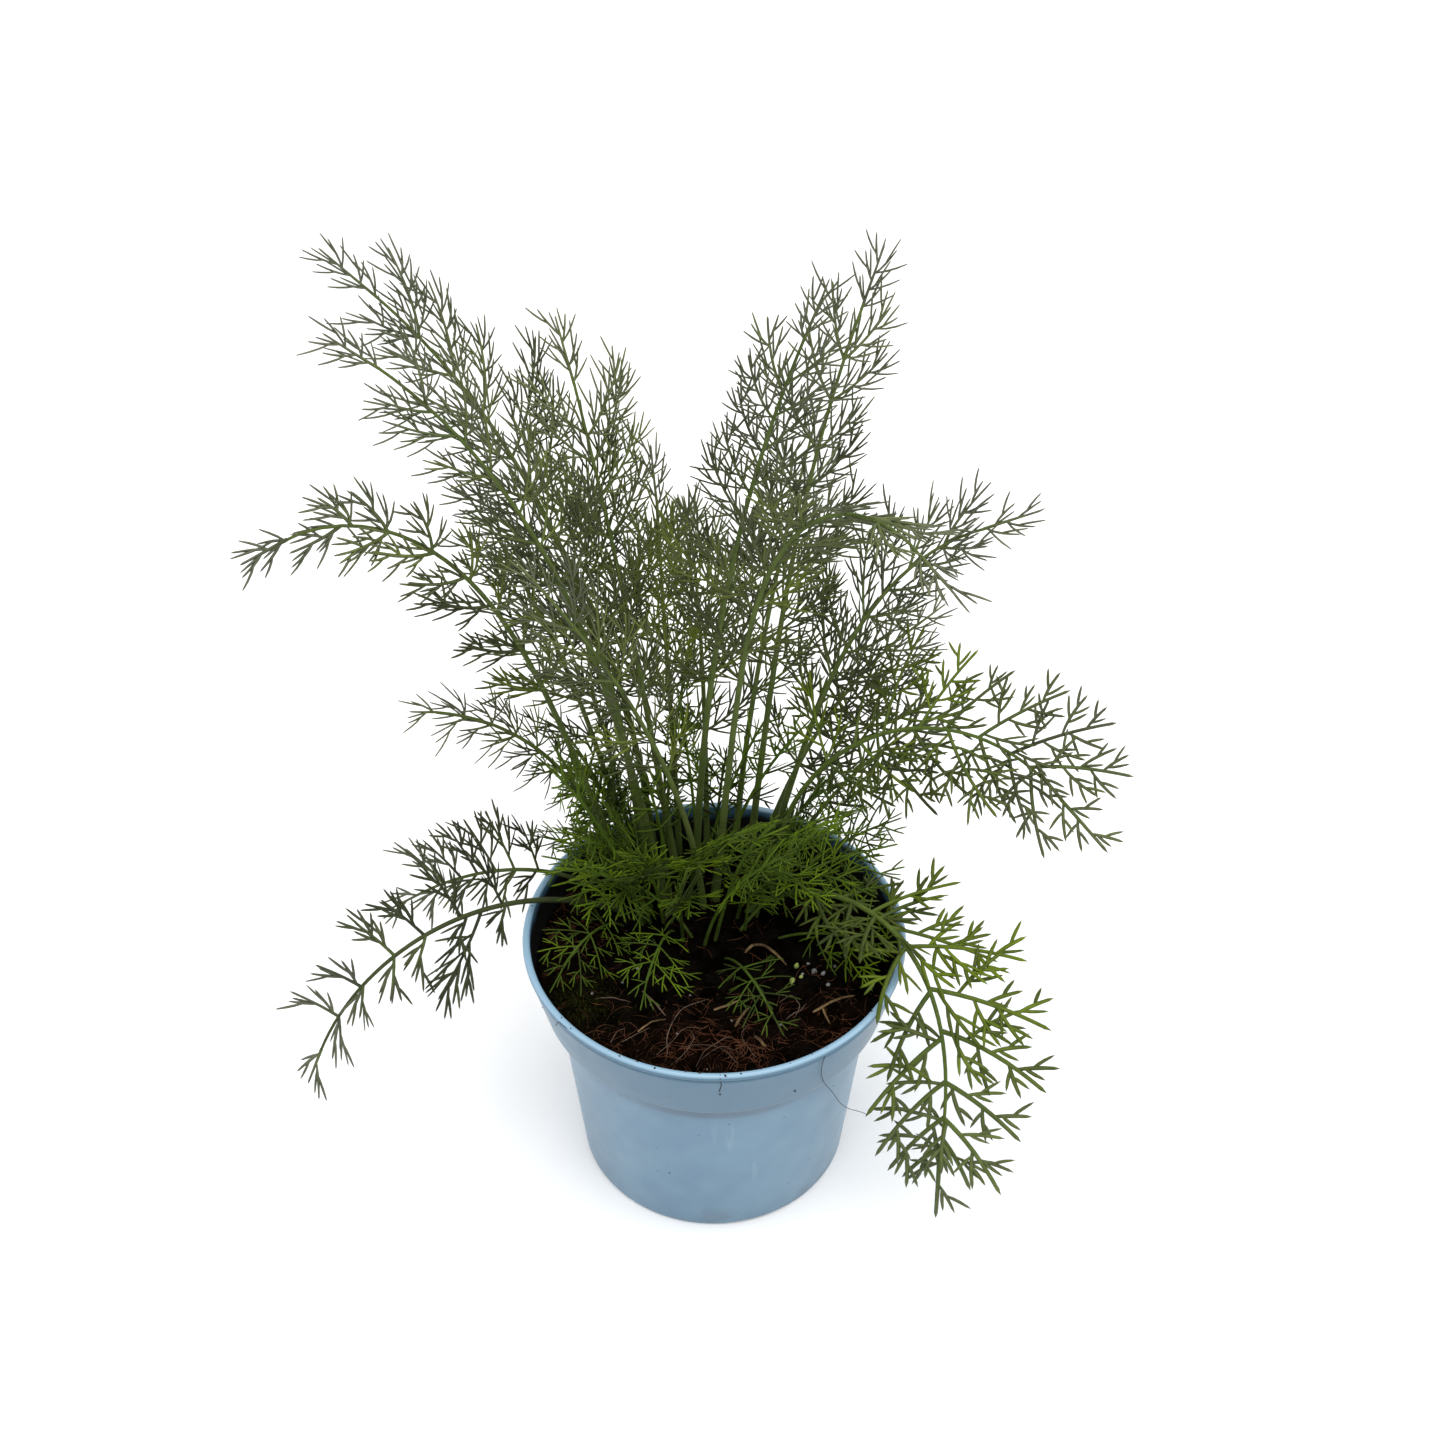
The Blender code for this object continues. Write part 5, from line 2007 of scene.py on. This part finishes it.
class Litter:
    """What lies on the compost: crumbs, fibres, straw, grit, husks and moss.

    A strand is its radius and its points, in millimetres, where a point's third number is
    its height above the compost. A bit of grit or husk is its place and half its width.
    The sizes of crumbs, fibres and moss are in millimetres too, each from the least to
    the most of a draw.
    """

    SOIL_RADIUS = 59 * MM
    CRUMBS = 1500
    CRUMB_SIZES = (0.35, 1.5)
    FIBRES = 460
    FIBRE_RINGS = 9
    BARE_FIBRES = 0.06
    FIBRE_LENGTHS = (5, 15)
    FIBRE_RADII = (0.07, 0.15)
    FIBRE_LIFTS = (0.1, 0.5)
    FIBRE_LOOPS = (0, 1.1)
    FIBRE_BEND = 2.2
    FIBRE_STRAY = 0.25
    STRAND_RINGS = 14
    MOSS_SHOOTS = 420
    MOSS_SPREAD = (7, 7.5)
    MOSS_LEAN = 0.6
    MOSS_LENGTHS = (0.8, 2.2)
    STRAW = BitFinish("straw", (0.18, 0.12, 0.055), (0.06, 0.036, 0.018))
    PALE = BitFinish("pale_fibre", (0.14, 0.1, 0.072), (0.06, 0.038, 0.026))
    COIR = BitFinish("coir_fibre", (0.11, 0.042, 0.02), (0.006, 0.0024, 0.0012))
    GRIT = BitFinish("grit", (0.2, 0.2, 0.19), (0.1, 0.1, 0.1))
    HUSK = BitFinish("green_husk", (0.3, 0.36, 0.1), (0.16, 0.2, 0.05))
    MOSS = BitFinish("moss", (0.02, 0.023, 0.003), (0.009, 0.01, 0.0015))
    STRAWS: tuple[Strand, ...] = (
        (0.6, ((10.5, 0.5, 0.5), (13, 3.5, 1.5), (17, 3, 2), (21, 0, 1.2), (24.5, -4.5, 0))),
        (0.5, ((0, -26, 0.6), (4, -24.5, 0.8), (8, -22, 0.3))),
        (0.55, ((7, -33, 0), (9.5, -29, 0.8), (12, -26, 1.2))),
        (0.6, ((13.5, -38.5, 0.2), (15.5, -41, 0.6), (17, -43, 0.2))),
        (0.5, ((33, -27, 0.5), (37, -25, 1.6), (42, -22, 1.4), (47, -20, 0.4))),
        (0.4, ((36, -24.5, 1.3), (37.5, -29, 0.6), (38.5, -32, 0.2))),
        (0.35, ((-25, -36, 0), (-21, -33, 1), (-16, -31, 0.3))),
    )
    PALE_STRANDS: tuple[Strand, ...] = (
        (
            0.15,
            ((-15, -45, 0.2), (-15.5, -39, 1.2), (-13.5, -32.5, 2), (-9, -26.5, 2), (-1.5, -20, 0)),
        ),
        (0.11, ((-34, -42, 0.2), (-32, -37.5, 1.4), (-29, -35, 0.4))),
        (0.11, ((-30, -41, 0.4), (-26, -38, 1), (-21, -34.5, 0.2))),
        (0.3, ((-24, -19, 0.8), (-20, -24, 1), (-16, -29.5, 0))),
        (0.24, ((-40, -21, 0), (-34, -20.5, 0.8), (-28, -22.5, 0))),
        (0.13, ((22, -22, 0), (26, -20, 3), (29, -24, 2), (27, -29, 0))),
        (0.13, ((24, -30, 0), (29, -27, 2.4), (31, -22, 0.4))),
        (0.1, ((-4, -48, 0), (2, -44, 1.8), (9, -45, 0))),
        (0.1, ((-14, -50, 0), (-9, -46, 1.5), (-6, -40, 1.8), (-8, -35, 0))),
        (0.1, ((-6, -52, 0), (-3, -46, 2), (3, -40, 1.4), (9, -37, 0))),
        (0.08, ((8, -50, 0), (3, -45, 1.6), (-4, -42, 1.6), (-11, -43, 0))),
        (0.08, ((14, -47, 0), (10, -42, 1.6), (9, -36, 1.2), (12, -32, 0))),
        (0.08, ((-20, -46, 0), (-14, -42, 1.2), (-10, -36, 1.4), (-4, -34, 0))),
    )
    GRIT_BITS: tuple[Triple, ...] = (
        (34, -8, 1.3), (37, -9.5, 1), (32, -5, 0.9), (38.5, -14.5, 0.8), (30, -9, 0.6),
        (41, -6, 0.6), (-31, -13, 0.6), (-26, -8, 0.5), (-41, -18, 0.6), (-8, -19, 0.5),
        (6, -30, 0.5), (-12, -37, 0.4), (-48, 2, 0.5), (22, -33, 0.6), (-21, -24, 0.4),
        (13, -17, 0.45), (-2, -52, 0.4),
    )
    HUSKS: tuple[Triple, ...] = ((28, -6, 1.3), (26.5, -12, 1.5), (29.5, -10.5, 0.9))

    def __init__(self, compost: bpy.types.Material) -> None:
        """Keep the compost's material, and start the random draws."""
        self.compost = compost
        self.draw = random.Random(7)

    def place_in_pot(self) -> tuple[float, float]:
        """Draw a place on the compost.

        Returns:
            x and y
        """
        turn = self.draw.uniform(0, math.tau)
        return polar(self.SOIL_RADIUS * math.sqrt(self.draw.random()), turn)

    def crumbs(self) -> None:
        """Crumbs of compost, a few of them large."""
        lumps = Lumps(seed=1)
        for _ in range(self.CRUMBS):
            x, y = self.place_in_pot()
            lumps.lay(x, y, blend(*self.CRUMB_SIZES, self.draw.random() ** 3) * MM)
        enrol(lumps.to_object("compost_crumbs", 1, 0.3), self.compost, "compost")

    def wander(self, x: float, y: float, length: float, rings: int, loop: float) -> np.ndarray:
        """Line of a fibre that wanders over the compost.

        Args:
            x: where it starts
            y: where it starts
            length: its length
            rings: points on the line
            loop: how high it arches off the compost

        Returns:
            the line's points
        """
        turn = self.draw.uniform(0, math.tau)
        bend = self.draw.uniform(-1, 1) * self.FIBRE_BEND / rings
        points = []
        lift = self.draw.uniform(*self.FIBRE_LIFTS) * MM
        for number in range(rings):
            share = number / (rings - 1)
            height = soil_top(x, y) + lift + loop * math.sin(share * math.pi)
            points.append((x, y, height))
            bend += self.draw.uniform(-self.FIBRE_STRAY, self.FIBRE_STRAY)
            inside = math.hypot(x, y) < self.SOIL_RADIUS
            turn = turn + bend * 0.6 if inside else math.atan2(-y, -x)
            x += length / rings * math.cos(turn)
            y += length / rings * math.sin(turn)
        return np.array(points)

    def fibres(self) -> None:
        """Brown fibres, thickest where the compost is coir."""
        tubes = Tubes()
        lines, radii = [], []
        while len(lines) < self.FIBRES:
            x, y = self.place_in_pot()
            if self.draw.random() > coir_share(x, y) + self.BARE_FIBRES:
                continue
            length = self.draw.uniform(*self.FIBRE_LENGTHS) * MM
            loop = self.draw.uniform(*self.FIBRE_LOOPS) * MM
            lines.append(self.wander(x, y, length, self.FIBRE_RINGS, loop))
            radius = self.draw.uniform(*self.FIBRE_RADII) * MM
            radii.append(np.full(self.FIBRE_RINGS, radius))
        up = np.tile([0.0, 0.0, 1.0], (len(lines), 1))
        tubes.add(np.array(lines), np.array(radii), up, 3)
        enrol(tubes.to_object("coir_fibres"), self.COIR.make(), "compost")

    def strands(
        self, name: str, finish: BitFinish, rows: tuple[Strand, ...], flat: float = 1.0
    ) -> None:
        """Single strands at chosen places.

        Args:
            name: the piece's name
            finish: its finish
            rows: the strands
            flat: thickness as a share of the width
        """
        tubes = Tubes()
        along = np.linspace(0, 1, self.STRAND_RINGS)
        taper = np.interp(along, (0, 0.1, 0.8, 1), (0.6, 1, 0.9, 0.5))
        for radius, corners in rows:
            line = eased(through(np.array(corners, float) * MM, self.STRAND_RINGS))
            line[:, 2] += [soil_top(x, y) + radius * MM for x, y, _ in line]
            eased(line[:, 2])
            up = np.array([[0.0, 0.0, 1.0]])
            tubes.add(line[None], (radius * MM * taper)[None], up, 8, flat)
        enrol(tubes.to_object(name), finish.make(), "compost")

    def bits(
        self, name: str, finish: BitFinish, rows: tuple[Triple, ...], seed: int, sink: float,
        rough: float,
    ) -> None:
        """Single bits of grit or husk at chosen places.

        Args:
            name: the piece's name
            finish: its finish
            rows: the bits
            seed: of their uneven shapes
            sink: share of a bit's size that lies below the surface
            rough: how uneven each bit is, 0 to 1
        """
        lumps = Lumps(seed)
        for x, y, size in rows:
            lumps.lay(x * MM, y * MM, size * MM, sink)
        enrol(lumps.to_object(name, 2, rough), finish.make(), "compost")

    def moss(self) -> None:
        """Patch of moss, as short upright shoots."""
        roots, heads, lengths = [], [], []
        (wide, deep), lean = self.MOSS_SPREAD, self.MOSS_LEAN
        while len(roots) < self.MOSS_SHOOTS:
            x = self.draw.gauss(MOSS_PATCH.x, wide) * MM
            y = self.draw.gauss(MOSS_PATCH.y, deep) * MM
            if math.hypot(x, y) > self.SOIL_RADIUS:
                continue
            roots.append((x, y, soil_top(x, y) - 0.2 * MM))
            heads.append((self.draw.uniform(-lean, lean), self.draw.uniform(-lean, lean), 1))
            lengths.append(self.draw.uniform(*self.MOSS_LENGTHS) * MM)
        heads = unit(np.array(heads))
        up = np.tile([0.3, -1.0, 0.2], (len(roots), 1))
        curl = np.full(len(roots), 0.4)
        lines = bent(np.array(roots), heads, up, np.array(lengths), curl, 4)
        radii = np.tile([0.16 * MM, 0.2 * MM, 0.18 * MM, 0.12 * MM], (len(roots), 1))
        tubes = Tubes()
        tubes.add(lines, radii, up, 4)
        enrol(tubes.to_object("moss_patch"), self.MOSS.make(), "compost")

    def build(self) -> None:
        """Lay everything on the compost."""
        self.crumbs()
        self.fibres()
        self.strands("straw_bits", self.STRAW, self.STRAWS, 0.7)
        self.strands("pale_strands", self.PALE, self.PALE_STRANDS)
        self.bits("grit_bits", self.GRIT, self.GRIT_BITS, seed=2, sink=0.2, rough=0.12)
        self.bits("green_husks", self.HUSK, self.HUSKS, seed=3, sink=0.1, rough=0.14)
        self.moss()


@dataclass(frozen=True)
class PotDirt:
    """Flecks and hair-thin roots that cling to the lip and the wall.

    A place is an angle about the pot's axis in degrees and a height in millimetres. A
    fleck adds half its width, and a point of a root how far it stands off the wall.
    """

    finish: BitFinish = BitFinish("root_hair", (0.05, 0.04, 0.035), (0.02, 0.016, 0.014))
    rings: int = 40
    roots: tuple[Strand, ...] = (
        (
            0.11,
            (
                (-55, 100.1, -1.3), (-56.5, 98.5, 0.4), (-57, 90, 0.8), (-54, 80, 1.2),
                (-49, 71, 4.5), (-43, 60, 3.5), (-38, 51, 2.5), (-32, 42, 3.5),
                (-27, 37, 6.5), (-24, 33, 9),
            ),
        ),
        (0.13, ((-88, 99.6, 0.1), (-87.6, 95, 0.3), (-88.2, 91, 0.2))),
        (0.1, ((-137, 99.7, 0.1), (-141, 99.2, 0.3), (-145, 92, 0.2))),
    )
    flecks: tuple[Triple, ...] = (
        (-64, 81.6, 0.35), (-65, 69.8, 0.3), (-107.3, 30, 0.45), (-84.3, 62.6, 0.3),
        (-88, 89, 0.35), (-40, 60, 0.3), (-140, 50, 0.25), (30, 40, 0.35), (80, 66, 0.4),
        (150, 30, 0.35), (200, 84, 0.3),
    )
    lip_angles: tuple[float, ...] = (
        -141, -136, -118, -112.5, -106.9, -98, -93.8, -88, -86.5, -82, -75.9, -67.3, -60,
        -35, 10, 60, 120, 170,
    )

    def on_wall(self, degrees: float, height: float, off: float = 0.0) -> Triple:
        """Place on the pot's outer face, or a distance off it.

        Args:
            degrees: angle about the pot's axis
            height: in millimetres
            off: distance off the face, in millimetres

        Returns:
            the place in metres
        """
        radius = wall_outside(height * MM) + off * MM
        return *polar(radius, math.radians(degrees)), height * MM

    def hairs(self) -> bpy.types.Object:
        """Make the hair-thin roots.

        Returns:
            the object
        """
        tubes = Tubes()
        across = np.array([[0.1, 0.2, 1.0]])
        for radius, places in self.roots:
            knots = np.array([self.on_wall(*place) for place in places])
            line = eased(through(knots, self.rings), 4)
            tubes.add(line[None], np.full((1, self.rings), radius * MM), across, 5)
        return tubes.to_object("root_hairs")

    def dirt(self) -> bpy.types.Object:
        """Make the flecks on the wall and on the lip.

        Returns:
            the object
        """
        lumps = Lumps(seed=5)
        draw = random.Random(11)
        for degrees, height, size in self.flecks:
            lumps.places.append((*self.on_wall(degrees, height), size * MM))
        for degrees in self.lip_angles:
            out = RIM_RADIUS - LIP_RADIUS + draw.uniform(-0.6, 0.6) * MM
            size = draw.uniform(0.2, 0.5) * MM
            lumps.places.append((*polar(out, math.radians(degrees)), POT_HEIGHT, size))
        return lumps.to_object("dirt_flecks", 1, 0.3)

    def build(self) -> None:
        """Make the roots and the flecks as two pieces."""
        material = self.finish.make()
        enrol(self.hairs(), material, "compost")
        enrol(self.dirt(), material, "compost")


@dataclass(frozen=True)
class Softbox:
    """Square soft light that hangs at a place and faces the plant."""

    name: str
    place: Triple
    size: float
    power: float
    aim: Triple = (0, 0, 0.12)

    def hang(self) -> None:
        """Hang the light."""
        data = bpy.data.lights.new(self.name, "AREA")
        data.shape = "SQUARE"
        data.size = self.size
        data.energy = self.power
        light = new_object(self.name, data)
        light.location = self.place
        light.rotation_mode = "QUATERNION"
        aim = Vector(self.aim) - Vector(self.place)
        light.rotation_quaternion = aim.to_track_quat("-Z", "Y")


@dataclass(frozen=True)
class Studio:
    """Pale floor, soft light and the camera at the photograph's angle."""

    target: Triple = (0.0023, 0, 0.1924)
    distance: float = 0.6888
    elevation: float = 40.32
    roll: float = 0.36
    lens: float = 55
    sensor: float = 36
    nearest: float = 0.01
    floor_size: float = 4
    paper: tuple[Colour, Colour] = ((0.95, 0.95, 0.95), (0.97, 0.97, 0.97))
    paper_roughness: float = 0.9
    paper_specular: float = 0.1
    softboxes: tuple[Softbox, ...] = (
        Softbox("softbox_top", (0.05, -0.35, 1.45), 1.4, 17),
        Softbox("softbox_right", (1.4, 0.1, 0.8), 1.2, 9),
        Softbox("softbox_left", (-1.4, 0.1, 0.8), 1.2, 5),
    )
    ambient: float = 0.8

    def camera(self) -> None:
        """Place the camera."""
        lift, tilt = math.radians(self.elevation), math.radians(self.roll)
        back = Vector((0, -math.cos(lift), math.sin(lift)))
        right = Vector((1, 0, 0))
        up = back.cross(right)
        across = right * math.cos(tilt) + up * math.sin(tilt)
        upward = up * math.cos(tilt) - right * math.sin(tilt)
        data = bpy.data.cameras.new("camera")
        data.lens = self.lens
        data.sensor_width = self.sensor
        data.clip_start = self.nearest
        camera = new_object("camera", data)
        turn = Matrix((across, upward, back)).transposed().to_4x4()
        place = Vector(self.target) + back * self.distance
        camera.matrix_world = Matrix.Translation(place) @ turn
        bpy.context.scene.camera = camera

    def floor(self) -> None:
        """Lay the floor."""
        mesh = bpy.data.meshes.new("floor")
        shape = bmesh.new()
        bmesh.ops.create_grid(shape, x_segments=8, y_segments=8, size=self.floor_size)
        shape.to_mesh(mesh)
        shape.free()
        finish = Finish("floor_paper")
        finish.colour(finish.mottle(*self.paper, 2.0).outputs["Colour"])
        finish.roughness(self.paper_roughness)
        finish.constant("Specular IOR Level", self.paper_specular)
        mesh.materials.append(finish.material)
        new_object("floor", mesh)

    def build(self) -> None:
        """Set up the camera, the floor, the lights and the background."""
        self.camera()
        self.floor()
        for softbox in self.softboxes:
            softbox.hang()
        world = bpy.data.worlds.new("studio")
        bpy.context.scene.world = world
        world.use_nodes = True
        backdrop = world.node_tree.nodes["Background"]
        backdrop.inputs["Color"].default_value = (1, 1, 1, 1)
        backdrop.inputs["Strength"].default_value = self.ambient
        bpy.context.scene.view_settings.view_transform = "Standard"


def main() -> None:
    """Load the solids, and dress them."""
    logging.basicConfig(level=logging.INFO, format="%(name)s: %(message)s")
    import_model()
    Studio().build()
    NurseryPot().build()
    compost = CompostFinish().make()
    CompostBed().build(compost)
    Litter(compost).build()
    PotDirt().build()
    Foliage().build()


if __name__ == "__main__":
    main()
